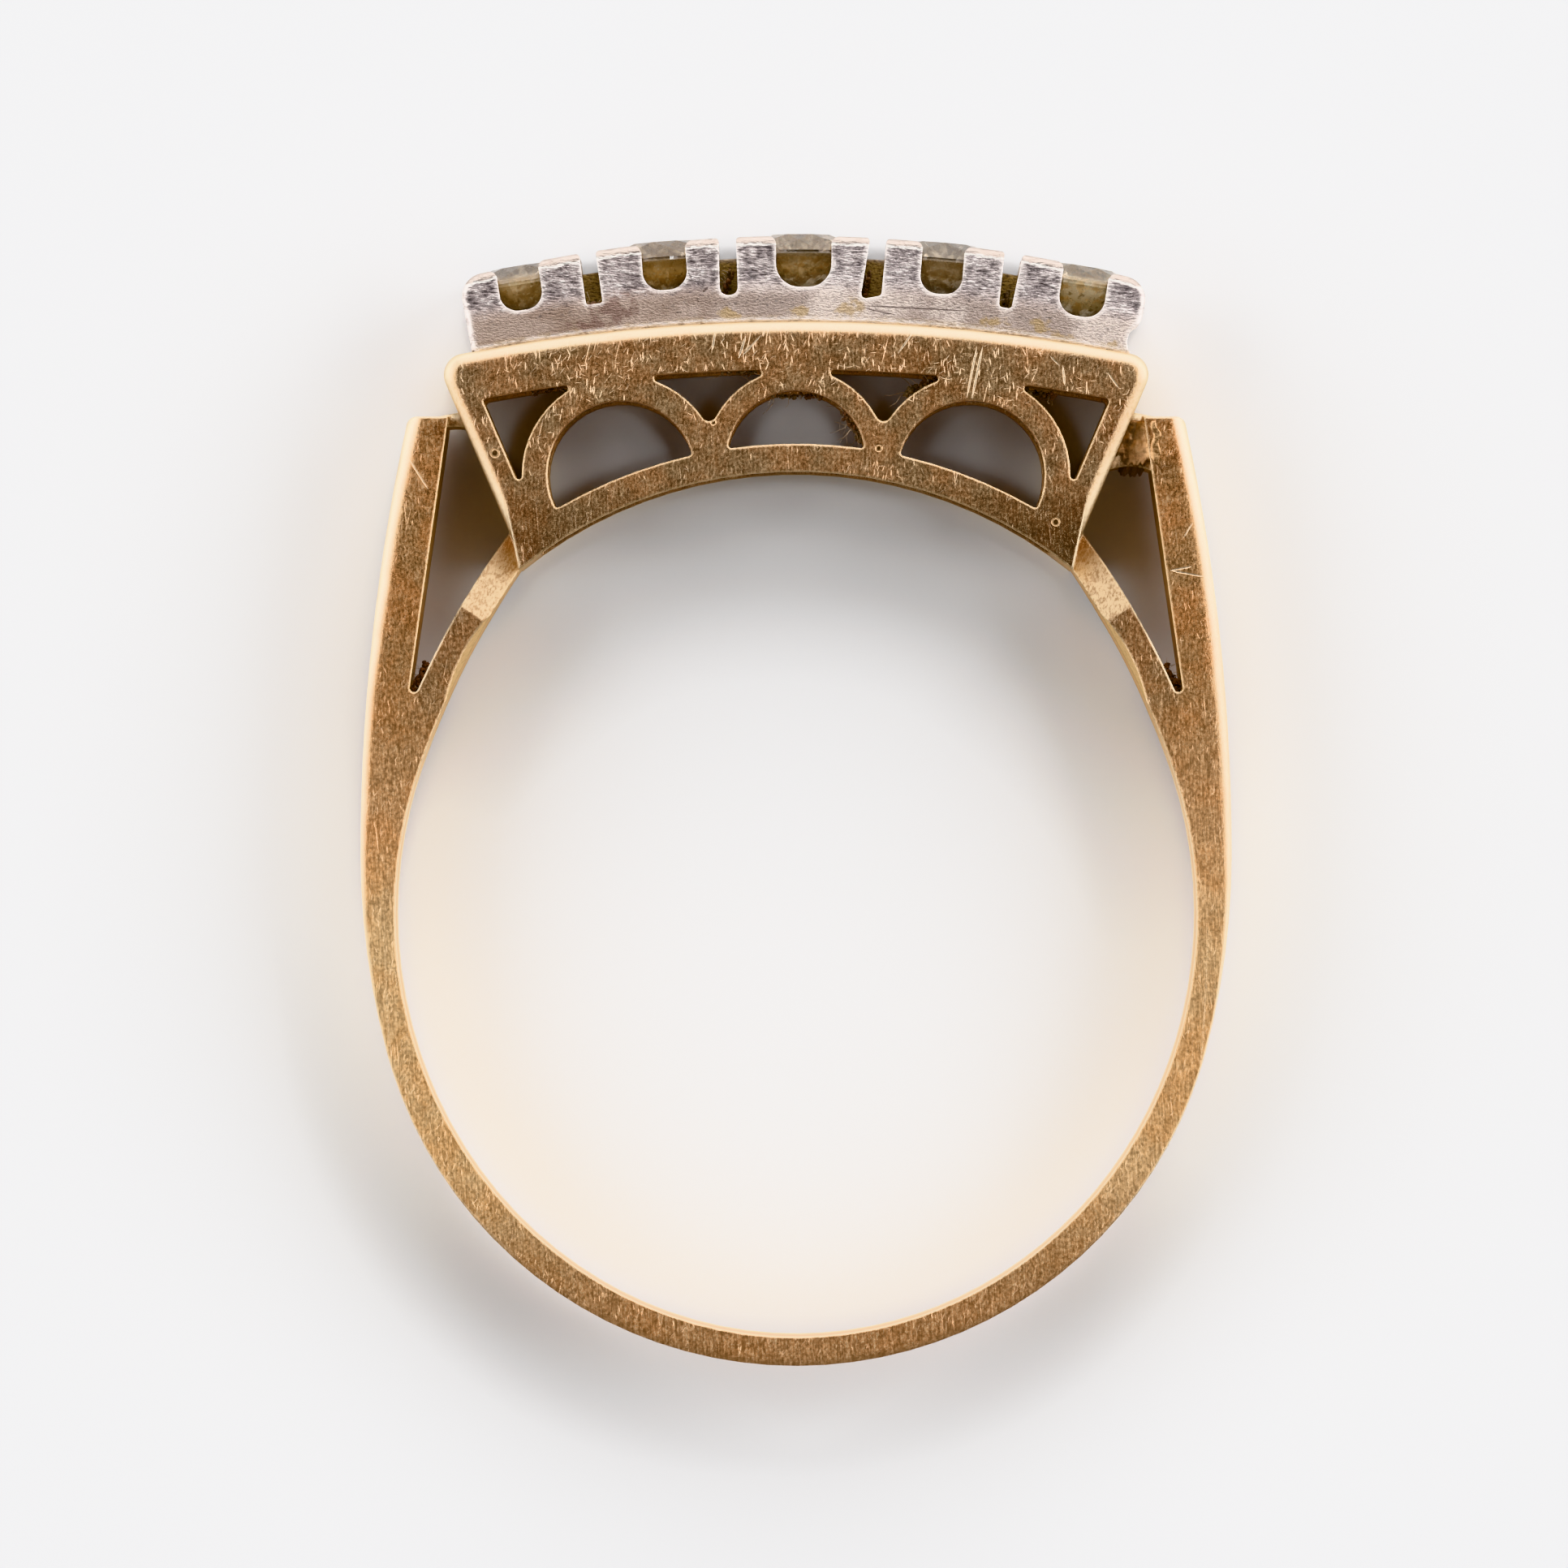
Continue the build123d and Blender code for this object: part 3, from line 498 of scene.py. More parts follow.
# Layers of colour: how much of each shows at most, and its colour
LAYERS = {
    # Painted light and shade: the back's more orange tone
    "back": (1.0, (0.90, 0.44, 0.21)),
    "tarnish": (0.6, (0.30, 0.11, 0.04)),
    # Painted shade in the recessed corners at the gallery's foot
    "gallery_foot": (1.0, (0.13, 0.065, 0.03)),
    "deep": (1.0, (0.11, 0.05, 0.022)),
    "light": (1.0, (1.0, 0.72, 0.43)),
    "scratch": (0.7, (1.0, 0.84, 0.62)),
    "pit_rim": (0.8, (1.0, 0.60, 0.30)),
    "pit_floor": (0.8, (0.10, 0.05, 0.02)),
    # Painted highlight on the flat faces near the outer edges
    "face_painted_highlight": (0.5, (0.95, 0.66, 0.38)),
    # Painted shade: more orange deeper in the walls
    "wall_middle": (1.0, (0.86, 0.48, 0.20)),
    # Painted shade on the rounded outer edge at the back
    "rolled_edge_shade": (0.8, (0.42, 0.22, 0.10)),
    # Painted highlight on the edges and walls near the outer edges
    "edge_painted_highlight": (1.0, (1.0, 0.88, 0.65)),
    "shadowed": (0.85, (0.34, 0.15, 0.07)),
    # Dirt and painted shade deep inside the gallery
    "inside": (0.8, (0.24, 0.13, 0.06)),
    "rubbed": (0.35, (0.30, 0.15, 0.06)),
    "wall_scratch": (0.6, (1.0, 0.86, 0.62)),
    "white_broad": (1.0, (0.22, 0.165, 0.14)),
    "white_left": (1.0, (0.20, 0.13, 0.09)),
    "pitted": (1.0, (0.07, 0.058, 0.06)),
    "bright_pits": (0.6, (1.0, 0.95, 0.92)),
    "olive_stain": (0.6, (0.34, 0.23, 0.09)),
    "brown_stain": (0.7, (0.16, 0.10, 0.085)),
    "dark_scratch": (0.8, (0.07, 0.05, 0.045)),
    # A painted highlight line and a painted shade band on the claws' rounded tops
    "crest_painted_highlight": (0.8, (1.0, 0.95, 0.90)),
    "crest_painted_shade": (0.85, (0.46, 0.38, 0.33)),
    "solder_spots": (0.5, (0.27, 0.16, 0.08)),
    "stone_flecks": (0.7, (0.98, 0.90, 0.66)),
    "stone_blots": (0.75, (0.16, 0.09, 0.03)),
}

# The stones' lower halves, from left to right: where they are clean and where they are clouded
STONES = [
    ((0.86, 0.68, 0.42), (0.40, 0.27, 0.13)),
    ((0.98, 0.72, 0.38), (0.50, 0.31, 0.12)),
    ((0.92, 0.74, 0.46), (0.48, 0.31, 0.14)),
    ((0.76, 0.64, 0.46), (0.36, 0.26, 0.15)),
    ((1.0, 0.93, 0.70), (0.66, 0.48, 0.24)),
]


def rows(columns, table):
    """A table's rows as dictionaries with the columns' names as keys."""
    return [dict(zip(columns, row)) for row in table]


class Graph:
    """A material's nodes, with short calls for the kinds that are used here.

    place is the point's own place in millimetres and x, y and z are its numbers. flat leaves out
    the depth, and run leans with it. side is how far the point is from the ring's middle line,
    depth how far from its middle plane, and bend how far from the centre of the gallery's bend.
    """

    def __init__(self, name):
        self.material = bpy.data.materials.new(name)
        self.material.use_nodes = True
        self.tree = self.material.node_tree
        self.tree.nodes.clear()
        self.grains = {}
        here = self.add("TexCoord").outputs["Object"]
        self.place = self.add("VectorMath", {0: here, 3: 1 / MM}, operation="SCALE").outputs[0]
        self.x, self.y, self.z = self.add("SeparateXYZ", {0: self.place}).outputs
        self.flat = self.joined(self.x, self.y)
        leaned_x = self.maths("MULTIPLY_ADD", self.z, LEAN_X, self.x)
        leaned_y = self.maths("MULTIPLY_ADD", self.z, LEAN_Y, self.y)
        self.run = self.joined(leaned_x, leaned_y, self.z)
        self.side = self.maths("ABSOLUTE", self.x)
        self.depth = self.maths("ABSOLUTE", self.maths("SUBTRACT", self.z, MIDDLE_Z))
        self.bend = self.measure("DISTANCE", self.flat, (0.0, BEND_CENTRE_Y, 0.0))

    def add(self, kind, inputs=None, **settings):
        """Adds a node. An input is given a socket to link or a plain value."""
        made = self.tree.nodes.new("ShaderNode" + kind)
        for key, value in settings.items():
            setattr(made, key, value)
        for key, value in (inputs or {}).items():
            if isinstance(value, bpy.types.NodeSocket):
                self.tree.links.new(value, made.inputs[key])
            else:
                made.inputs[key].default_value = value
        return made

    def maths(self, operation, first, second=0.0, third=0.0, clamp=False):
        """A calculation with one to three numbers."""
        made = self.add("Math", {0: first, 1: second, 2: third}, operation=operation, use_clamp=clamp)
        return made.outputs[0]

    def chain(self, operation, values):
        """The same calculation with two numbers, repeated over several."""
        total = values[0]
        for value in values[1:]:
            total = self.maths(operation, total, value)
        return total

    def times(self, *values):
        """The product of several numbers."""
        return self.chain("MULTIPLY", values)

    def most(self, *values):
        """The largest of several numbers."""
        return self.chain("MAXIMUM", values)

    def vector(self, operation, first, second=(0.0, 0.0, 0.0)):
        """A calculation with two vectors that gives a vector."""
        return self.add("VectorMath", {0: first, 1: second}, operation=operation).outputs[0]

    def measure(self, operation, first, second=(0.0, 0.0, 0.0)):
        """A calculation with two vectors that gives a number."""
        return self.add("VectorMath", {0: first, 1: second}, operation=operation).outputs["Value"]

    def joined(self, x, y, z=0.0):
        """A vector from three numbers."""
        return self.add("CombineXYZ", {0: x, 1: y, 2: z}).outputs[0]

    def ramp(self, value, start, end, low=0.0, high=1.0):
        """A smooth step of a number from one range to another."""
        inputs = {"Value": value, "From Min": start, "From Max": end, "To Min": low, "To Max": high}
        return self.add("MapRange", inputs, interpolation_type="SMOOTHSTEP").outputs[0]

    def step(self, name, value):
        """One of the named smooth steps."""
        return self.ramp(value, *STEPS[name])

    def outside(self, mask):
        """1 where a mask is 0, and 0 where it is 1."""
        return self.ramp(mask, 0.0, 1.0, 1.0, 0.0)

    def blend(self, factor, first, second):
        """A mix of two colours. A colour is a socket, three numbers or one of the names."""
        colours = []
        for colour in (first, second):
            colour = COLOURS[colour] if isinstance(colour, str) else colour
            colours.append((*colour, 1.0) if isinstance(colour, tuple) else colour)
        made = self.add("Mix", {0: factor, 6: colours[0], 7: colours[1]}, data_type="RGBA")
        return made.outputs[2]

    def layer(self, name, mask, under):
        """Lays one of the named layers over a colour where the mask is 1."""
        strength, colour = LAYERS[name]
        return self.blend(self.maths("MULTIPLY", mask, strength), under, colour)

    def between(self, factor, first, second):
        """A mix of two directions."""
        made = self.add("Mix", {0: factor, 4: first, 5: second}, data_type="VECTOR")
        return self.vector("NORMALIZE", made.outputs[1])

    def stretched(self, place, turn, sizes):
        """Places turned about the finger's axis and divided by three sizes."""
        inputs = {"Vector": place, "Angle": radians(turn)}
        turned = self.add("VectorRotate", inputs, rotation_type="Z_AXIS").outputs[0]
        return self.vector("MULTIPLY", turned, [1 / size for size in sizes])

    def grain(self, name):
        """One of the named noises. It is made once for each material."""
        if name in self.grains:
            return self.grains[name]
        size, detail, roughness, *streak = GRAINS[name]
        place = self.place
        if streak:
            leans, turn, sizes = streak
            place = self.stretched(self.run if leans else self.place, turn, sizes)
        inputs = {"Vector": place, "Scale": 1 / size, "Detail": detail, "Roughness": roughness}
        self.grains[name] = self.add("TexNoise", inputs).outputs["Fac"]
        return self.grains[name]

    def shares(self, noises, total=0.0):
        """A sum of noises, each with its share."""
        for name, share in noises.items():
            total = self.maths("MULTIPLY_ADD", self.grain(name), share, total)
        return total

    def crowd(self, name):
        """Short straight scratches at several angles, some faint: up to 1 in one, 0 beside it."""
        turns, width, length, spacing = CROWDS[name]
        reach = 1 / spacing
        layers = []
        for turn in turns:
            cells = self.stretched(self.run, turn, (width / reach, length / reach, 1.0))
            made = self.add("TexVoronoi", {"Vector": cells, "Scale": 1.0}, voronoi_dimensions="2D")
            strength = self.add("SeparateColor", {0: made.outputs["Color"]}).outputs[0]
            inside = self.ramp(made.outputs["Distance"], reach * CROWD_FULL, reach, 1.0, 0.0)
            layers.append(self.times(inside, strength))
        return self.most(*layers)

    def line(self, row):
        """One scratch between two points of a face, 1 along it and 0 beside it."""
        start = (row["x"], row["y"], 0.0)
        run = Vector((row["end_x"] - row["x"], row["end_y"] - row["y"], 0.0))
        from_start = self.vector("SUBTRACT", self.flat, start)
        share = self.measure("DOT_PRODUCT", from_start, run / run.length_squared)
        share = self.maths("MULTIPLY", share, 1.0, clamp=True)
        foot = self.add("VectorMath", {0: run, 3: share}, operation="SCALE").outputs[0]
        away = self.measure("DISTANCE", from_start, foot)
        taper = self.times(self.step("scratch_start", share), self.step("scratch_end", share))
        reach = self.times(taper, row["width"])
        return self.step("scratch_side", self.maths("DIVIDE", away, reach))

    def pit(self, row):
        """A round pit's rim and its floor, 1 there and 0 beside it."""
        away = self.measure("DISTANCE", self.flat, (row["x"], row["y"], 0.0))
        away = self.maths("DIVIDE", away, row["radius"])
        from_rim = self.maths("ABSOLUTE", self.maths("SUBTRACT", away, 1.0))
        return self.step("pit_rim", from_rim), self.step("pit_floor", away)

    def stain(self, uneven, row):
        """1 in the middle of a stain, falling to 0 at its uneven edge."""
        from_middle = self.vector("SUBTRACT", self.flat, (row["x"], row["y"], 0.0))
        shares = self.vector("MULTIPLY", from_middle, (1 / row["wide"], 1 / row["tall"], 0.0))
        return self.step("stain", self.maths("ADD", self.measure("LENGTH", shares), uneven))

    def near(self, row):
        """1 at a point of the ring, falling to 0 at a distance from it."""
        away = self.measure("DISTANCE", self.flat, (row["x"], row["y"], 0.0))
        return self.ramp(away, row["reach"] * TARNISH_FULL, row["reach"], 1.0, 0.0)

    def rounded(self, radius):
        """The normal with sharp edges made round. The radius is in millimetres."""
        reach = self.maths("MULTIPLY", radius, MM)
        return self.add("Bevel", {"Radius": reach}, samples=EDGE_SAMPLES).outputs[0]

    def own_normal(self, normal):
        """A normal in the object's own frame, as three numbers."""
        own = self.add(
            "VectorTransform", {0: normal}, vector_type="NORMAL", convert_from="WORLD", convert_to="OBJECT"
        ).outputs[0]
        return self.add("SeparateXYZ", {0: own}).outputs

    def facing(self, normal):
        """How squarely the surface faces along the finger's axis: 1 on the flat faces."""
        return self.maths("ABSOLUTE", self.own_normal(normal)[2])

    def relief(self, height, depth, normal):
        """A bump from a height of 0 to 1 and its depth in millimetres."""
        return self.add("Bump", {"Height": height, "Distance": depth * MM, "Normal": normal}).outputs[0]

    def finish(self, **inputs):
        """Ends the material in one principled shader."""
        named = {key.replace("_", " "): value for key, value in inputs.items()}
        shader = self.add("BsdfPrincipled", named)
        self.add("OutputMaterial", {"Surface": shader.outputs[0]})
        return self.material


def gallery_slant(g):
    """How far out a point is, measured along the gallery's leaning sides."""
    return g.maths("MULTIPLY_ADD", g.y, -GALLERY_SLANT, g.side)


def tine_slant(g):
    """How far out a point is, measured along the outer tines' leaning sides."""
    return g.maths("MULTIPLY_ADD", g.y, TINE_SLANT, g.side)


def gallery_middle(g):
    """1 on the arches and round the windows, 0 along the gallery's rim and on the tines and shank."""
    sides = g.step("in_from_gallery_side", gallery_slant(g))
    return g.times(sides, g.step("below_gallery_rim", g.bend), g.step("above_gallery_foot", g.y))


def on_tines(g):
    """1 on the outer tines and the shank's widest part, 0 on the gallery."""
    return g.step("on_tines", tine_slant(g))


def edge_reach(g):
    """How widely the outer edges look rounded: most on the tines, and more on the right."""
    gallery = g.times(g.step("gallery_edge", g.y), g.step("gallery_edge_top", g.y))
    right = g.times(g.step("right_edge", g.x), g.step("right_edge_fade", g.y))
    widest = g.maths("ADD", right, TINE_EDGE)
    shank = g.ramp(g.y, SHANK_EDGE_Y, TINE_EDGE_Y, SHANK_EDGE, widest)
    reach = g.maths("MULTIPLY_ADD", g.maths("SUBTRACT", shank, gallery), on_tines(g), gallery)
    return g.maths("ADD", reach, g.step("back_edge", g.y))


def inner_slopes(g, middle):
    """1 on the inner tines where they slope down to the gallery."""
    slope = g.times(g.step("slope_foot", g.y), g.step("past_gallery_side", gallery_slant(g)))
    slope = g.times(slope, g.step("slope_side", g.side), g.step("slope_top", g.y))
    return g.times(slope, g.step("off_middle", middle))


def gold_edges(g, middle, slope):
    """The normal, rounded widely along the ring's outer edges and finely at all others.

    Also says how far it leans away from the finger.
    """
    fine = g.rounded(g.step("fine_edge", g.y))
    wide = g.rounded(edge_reach(g))
    lean = g.own_normal(wide)
    outward = g.vector("NORMALIZE", g.vector("SUBTRACT", g.flat, SHANK_CENTRE))
    outward = g.measure("DOT_PRODUCT", g.joined(lean[0], lean[1]), outward)
    fork = g.times(g.step("fork_side", tine_slant(g)), g.step("fork_foot", g.y), g.step("fork_top", g.y))
    above = g.step("upward", g.maths("SUBTRACT", lean[1], g.maths("ABSOLUTE", lean[0])))
    above = g.times(above, g.step("tine_top", g.side))
    outer = g.times(g.step("outward", outward), g.outside(middle), g.outside(fork), g.outside(above))
    return g.between(g.most(outer, slope), fine, wide), outward


def gold_tone(g):
    """The colour of the flat faces before their scratches: browner above, paler down the shank. These
    steps are painted light and shade on one gold, and the darker foot of the gallery is painted shade; the
    rosy patches and the tarnish are its own colour.
    """
    patches = g.step("patches", g.grain("patches"))
    tine = g.blend(patches, "tine", "tine_rosy")
    # Painted light and shade: the same gold darker on the gallery, paler on the tines, flank and shank
    upper = g.blend(g.times(on_tines(g), TINE_TONE), g.blend(patches, "gallery", "gallery_rosy"), tine)
    tone = g.blend(g.step("to_flank", g.y), upper, g.blend(patches, "flank", "flank_rosy"))
    to_shank = g.times(g.step("to_shank", g.y), g.step("shank_right", g.x))
    tone = g.blend(to_shank, tone, g.blend(patches, "shank", "shank_rosy"))
    # Painted light and shade: more orange at the back
    tone = g.layer("back", g.step("to_back", g.y), tone)
    red = g.most(*[g.near(row) for row in rows(TARNISH_COLUMNS, TARNISH)])
    tone = g.layer("tarnish", g.times(red, g.step("tarnish", g.grain("tarnish"))), tone)
    # Painted shade in the recessed corners at the gallery's foot, stronger on the right
    foot = g.times(g.step("foot_top", g.y), g.step("foot_side", g.side), g.step("foot_low", g.y))
    return g.layer("gallery_foot", g.times(foot, g.step("foot_right", g.x)), tone)


def gold_marks(g):
    """Fine scratches and the larger ones drawn singly."""
    cross = g.times(g.crowd("cross"), g.step("cross_scratches", g.y))
    crowded = g.times(g.step("crowd", g.grain("crowd")), g.step("crowd_above", g.y))
    faint = g.times(g.most(g.crowd("short"), cross, g.crowd("long")), crowded)
    drawn = g.most(*[g.line(row) for row in rows(SCRATCH_COLUMNS, SCRATCHES)])
    return g.most(faint, drawn)


def blotches(g):
    """Broad unevenness, 0 on average."""
    return g.maths("SUBTRACT", g.grain("blotches"), 0.5)


def gold_shade(g):
    """The small light and dark of the gold's surface, about 0.5 on average."""
    shade = g.shares(GOLD_SHADE, GOLD_SHADE_BASE)
    return g.maths("MULTIPLY_ADD", blotches(g), g.step("uneven", g.y), shade)


def gold_faces(g, shade, marks, painted_highlight, rims, floors):
    """The colour of the flat faces: brown, scratched bright and pitted, with a painted highlight near the
    outer edges.
    """
    lines = g.times(g.step("brushed_line", g.grain("brushed")), g.step("brushed_below", g.y))
    deep = g.most(g.times(g.step("deep", shade), g.step("deep_above", g.y)), lines)
    colour = g.layer("deep", deep, gold_tone(g))
    colour = g.layer("light", g.times(g.step("light", shade), g.step("light_back", g.y)), colour)
    colour = g.layer("scratch", marks, colour)
    colour = g.layer("pit_rim", rims, colour)
    colour = g.layer("pit_floor", floors, colour)
    # Painted highlight near the outer edges
    return g.layer("face_painted_highlight", painted_highlight, colour)


def gold_walls(g, shade, marks, painted_highlight, slope, middle, own, outward):
    """The colour of the edges, the slopes and the walls. The edges are pale from wear and a painted
    highlight; the walls carry painted light and shade, pale low down and browner and more orange deeper
    in; painted shade lies under the arches and on the rounded outer edge at the back, and dirt with
    painted shade makes it brown inside the gallery.
    """
    # Pale edges: wear and a painted highlight
    wear_and_painted_light = g.blend(g.step("wear_and_painted_light", g.grain("sand")), "edge_wear_and_highlight_low", "edge_wear_and_highlight_high")
    wall = g.step("wall", g.maths("ABSOLUTE", own[2]))
    # Painted light and shade: the walls pale low down, browner above and more orange deeper in
    wall_tone = g.blend(g.step("wall_below", g.y), "wall_above", "wall_below")
    wall_tone = g.layer("wall_middle", g.step("wall_middle", g.depth), wall_tone)
    wear_and_painted_light = g.blend(wall, wear_and_painted_light, wall_tone)
    # Painted shade on the rounded outer edge at the back
    wear_and_painted_light = g.layer("rolled_edge_shade", g.times(g.step("rolled_edge_shade", outward), g.step("rolled_edge_shade_back", g.y)), wear_and_painted_light)
    # Painted highlight on the edges and walls near the outer edges
    wear_and_painted_light = g.layer("edge_painted_highlight", g.times(painted_highlight, g.step("painted_highlight_on_wall", wall)), wear_and_painted_light)
    cut = g.blend(g.step("filed_slope", g.shares(SLOPE_SHADE)), "slope_low", "slope_high")
    wear_and_painted_light = g.blend(g.times(slope, g.step("slope_not_wall", wall)), wear_and_painted_light, cut)
    shadowed = g.times(middle, g.step("underside", own[1]), g.step("arch_top", g.y))
    wear_and_painted_light = g.layer("shadowed", shadowed, wear_and_painted_light)
    # Dirt and painted shade deep inside the gallery
    inside = g.times(g.step("inside_depth", g.depth), g.step("inside_side", g.side))
    wear_and_painted_light = g.layer("inside", g.times(inside, g.step("inside_low", g.y)), wear_and_painted_light)
    wear_and_painted_light = g.layer("rubbed", g.times(wall, g.step("rubbed", shade)), wear_and_painted_light)
    return g.layer("wall_scratch", g.times(wall, marks), wear_and_painted_light)


def gold():
    """Rosy gold: satin brown faces with fine bright scratches, and pale edges from wear and a painted
    highlight. Light and shade are painted into its tone as well.
    """
    g = Graph("gold")
    middle = gallery_middle(g)
    slope = inner_slopes(g, middle)
    soft, outward = gold_edges(g, middle, slope)
    own = g.own_normal(soft)
    # Painted highlight near the outer edges, laid on the faces and on the edges
    painted_highlight = g.times(g.step("painted_highlight", outward), g.outside(middle), g.step("painted_highlight_low", g.y))
    shade = gold_shade(g)
    rims, floors = zip(*[g.pit(row) for row in rows(PIT_COLUMNS, PITS)])
    marks = g.most(gold_marks(g), *rims)
    squarely = g.maths("ABSOLUTE", own[2])
    flatness = g.maths("MULTIPLY_ADD", blotches(g), EDGE_UNEVEN, squarely)
    cut_face = g.times(slope, g.step("cut_face", squarely))
    # The edges get a pale colour: wear and a painted highlight
    turned = g.most(g.step("turned", flatness), cut_face)
    faces = gold_faces(g, shade, marks, painted_highlight, g.most(*rims), g.most(*floors))
    colour = g.blend(turned, faces, gold_walls(g, shade, marks, painted_highlight, slope, middle, own, outward))
    rough = g.maths("ADD", g.step("gold_rough", g.grain("sand")), g.step("turned_rough", turned))
    rough = g.maths("ADD", rough, g.times(g.step("shank_rough", g.y), g.step("back_rough", g.y)))
    sand = g.times(g.grain("sand"), GOLD_SAND_HEIGHT)
    height = g.maths("MULTIPLY_ADD", marks, GOLD_SCRATCH_HEIGHT, sand)
    normal = g.relief(height, GOLD_RELIEF, soft)
    return g.finish(Base_Color=colour, Metallic=1.0, Roughness=rough, Normal=normal)


def white_tone(g, claws, rim, rise, pitted):
    """The white metal's colour with its pits: dull along the foot, hammered on the claws."""
    fine = g.grain("filed")
    flakes = g.grain("flakes")
    field = g.times(claws, g.step("in_from_rim", rim))
    level = g.maths("MULTIPLY_ADD", field, PIT_LEVEL_ON_CLAWS, PIT_LEVEL)
    dark = g.step("pitted", g.maths("SUBTRACT", pitted, level))
    tone = g.blend(g.step("white_fine", fine), "white_low", "white_high")
    tone = g.layer("white_broad", g.step("white_broad", g.grain("broad")), tone)
    tone = g.layer("white_left", g.step("white_left", g.x), tone)
    claw_tone = g.blend(g.step("claw_flakes", flakes), "claw_high", "claw_low")
    tone = g.blend(g.times(claws, CLAW_TONE), tone, claw_tone)
    pocks = g.times(g.step("pocks", g.grain("pocks")), g.step("pocks_broad", g.grain("broad")))
    pocks = g.times(pocks, g.step("pocks_low", rise))
    colour = g.layer("pitted", g.most(g.times(dark, PIT_TONE), g.times(pocks, POCK_TONE)), tone)
    return g.layer("bright_pits", g.times(claws, g.step("bright_pits", pitted)), colour)


def white_stains(g, colour, rise):
    """Lays the stains and the dark scratches over the setting's foot."""
    uneven = g.step("stain_edge", g.grain("stain_edge"))
    stains = rows(STAIN_COLUMNS, STAINS)
    olive = g.most(*[g.stain(uneven, row) for row in stains if row["olive"]])
    brown = g.most(*[g.stain(uneven, row) for row in stains if not row["olive"]])
    foot = g.times(g.step("foot_dirt", rise), g.step("foot_flakes", g.grain("flakes")))
    colour = g.layer("olive_stain", g.most(olive, g.times(foot, FOOT_STAIN)), colour)
    colour = g.layer("brown_stain", brown, colour)
    drawn = g.most(*[g.line(row) for row in rows(SCRATCH_COLUMNS, DARK_SCRATCHES)])
    return g.layer("dark_scratch", drawn, colour)


def white_crest(g, colour):
    """Lays a band of painted shade and a painted highlight line over the claws' rounded tops."""
    crest = g.measure("DISTANCE", g.flat, CREST_CENTRE)
    crest = g.maths("ADD", crest, g.step("crest_wave", g.grain("crest")))
    from_line = g.maths("ABSOLUTE", g.maths("SUBTRACT", crest, CREST_RADIUS - CREST_HIGHLIGHT_DEPTH))
    colour = g.layer("crest_painted_highlight", g.step("crest_painted_highlight", from_line), colour)
    return g.layer("crest_painted_shade", g.step("crest_painted_shade", crest), colour)


def white_metal():
    """The setting's white metal: silvery, hammered on the claws, stained along its foot. Its pale rims
    show wear and a painted highlight, and dirt with painted shade lies deep inside.
    """
    g = Graph("white_metal")
    soft = g.rounded(WHITE_EDGE)
    own = g.own_normal(soft)
    rim = g.step("rim", g.facing(g.rounded(WHITE_RIM)))
    rise = g.maths("SUBTRACT", g.bend, SETTING_FOOT_RADIUS)
    fine = g.grain("filed")
    claws = g.step("claws", rise)
    pitted = g.shares(WHITE_PITS)
    colour = white_stains(g, white_tone(g, claws, rim, rise, pitted), rise)
    # Pale rims and edges: wear and a painted highlight
    wear_and_painted_light = g.blend(g.step("rim_flakes", g.grain("flakes")), "white_rim_low", "white_rim_high")
    turned = g.step("white_turned", g.maths("ABSOLUTE", own[2]))
    colour = g.blend(g.most(turned, g.times(rim, RIM_TONE)), colour, wear_and_painted_light)
    colour = white_crest(g, colour)
    ends = g.times(g.step("ends", g.side), g.step("end_outward", g.times(g.x, own[0])))
    # Dirt and painted shade deep inside the setting, away from its ends
    inside = g.times(g.step("grime_and_shade_depth", g.depth), g.step("grime_and_shade_top", rise), g.outside(ends))
    grime_and_shade = g.blend(g.step("grime_and_shade", fine), "grime_and_shade_low", "grime_and_shade_high")
    colour = g.blend(inside, colour, grime_and_shade)
    rough = g.maths("ADD", g.step("white_rough", fine), g.times(inside, GRIME_ROUGHNESS))
    height = g.maths("MULTIPLY_ADD", g.times(pitted, claws), WHITE_PIT_HEIGHT, fine)
    normal = g.relief(height, WHITE_RELIEF, soft)
    metal = g.step("grime_metal", inside)
    return g.finish(Base_Color=colour, Metallic=metal, Roughness=rough, Normal=normal)


def solder_metal():
    """Rough brown solder that ran into the corners, and paler where it flowed over the tine."""
    g = Graph("solder_metal")
    fine = g.grain("solder")
    colour = g.blend(g.step("solder_fine", fine), "solder_low", "solder_high")
    colour = g.layer("solder_spots", g.step("solder_spots", g.grain("solder_spots")), colour)
    flowed = g.blend(g.step("flowed_fine", fine), "flowed_low", "flowed_high")
    colour = g.blend(on_tines(g), colour, flowed)
    rough = g.step("solder_rough", fine)
    normal = g.relief(fine, SOLDER_RELIEF, g.rounded(SOLDER_EDGE))
    return g.finish(Base_Color=colour, Metallic=SOLDER_METALLIC, Roughness=rough, Normal=normal)


def dirt():
    """Old brown dirt, olive in places."""
    g = Graph("dirt")
    fine = g.grain("dirt")
    olive = g.times(g.step("dirt_broad", g.grain("dirt_broad")), g.step("dirt_above", g.y))
    dark = g.blend(olive, "dirt_low_red", "dirt_low_olive")
    pale = g.blend(olive, "dirt_high_red", "dirt_high_olive")
    colour = g.blend(g.step("dirt_fine", fine), dark, pale)
    normal = g.relief(fine, DIRT_RELIEF, g.add("NewGeometry").outputs["Normal"])
    return g.finish(Base_Color=colour, Roughness=DIRT_ROUGHNESS, Normal=normal)


def lint():
    """Fine hairs of cloth and skin caught in the corners."""
    g = Graph("lint")
    shade = g.step("lint", g.grain("lint"))
    colour = g.blend(shade, "lint_low", "lint_high")
    return g.finish(Base_Color=colour, Roughness=g.step("lint_rough", shade))


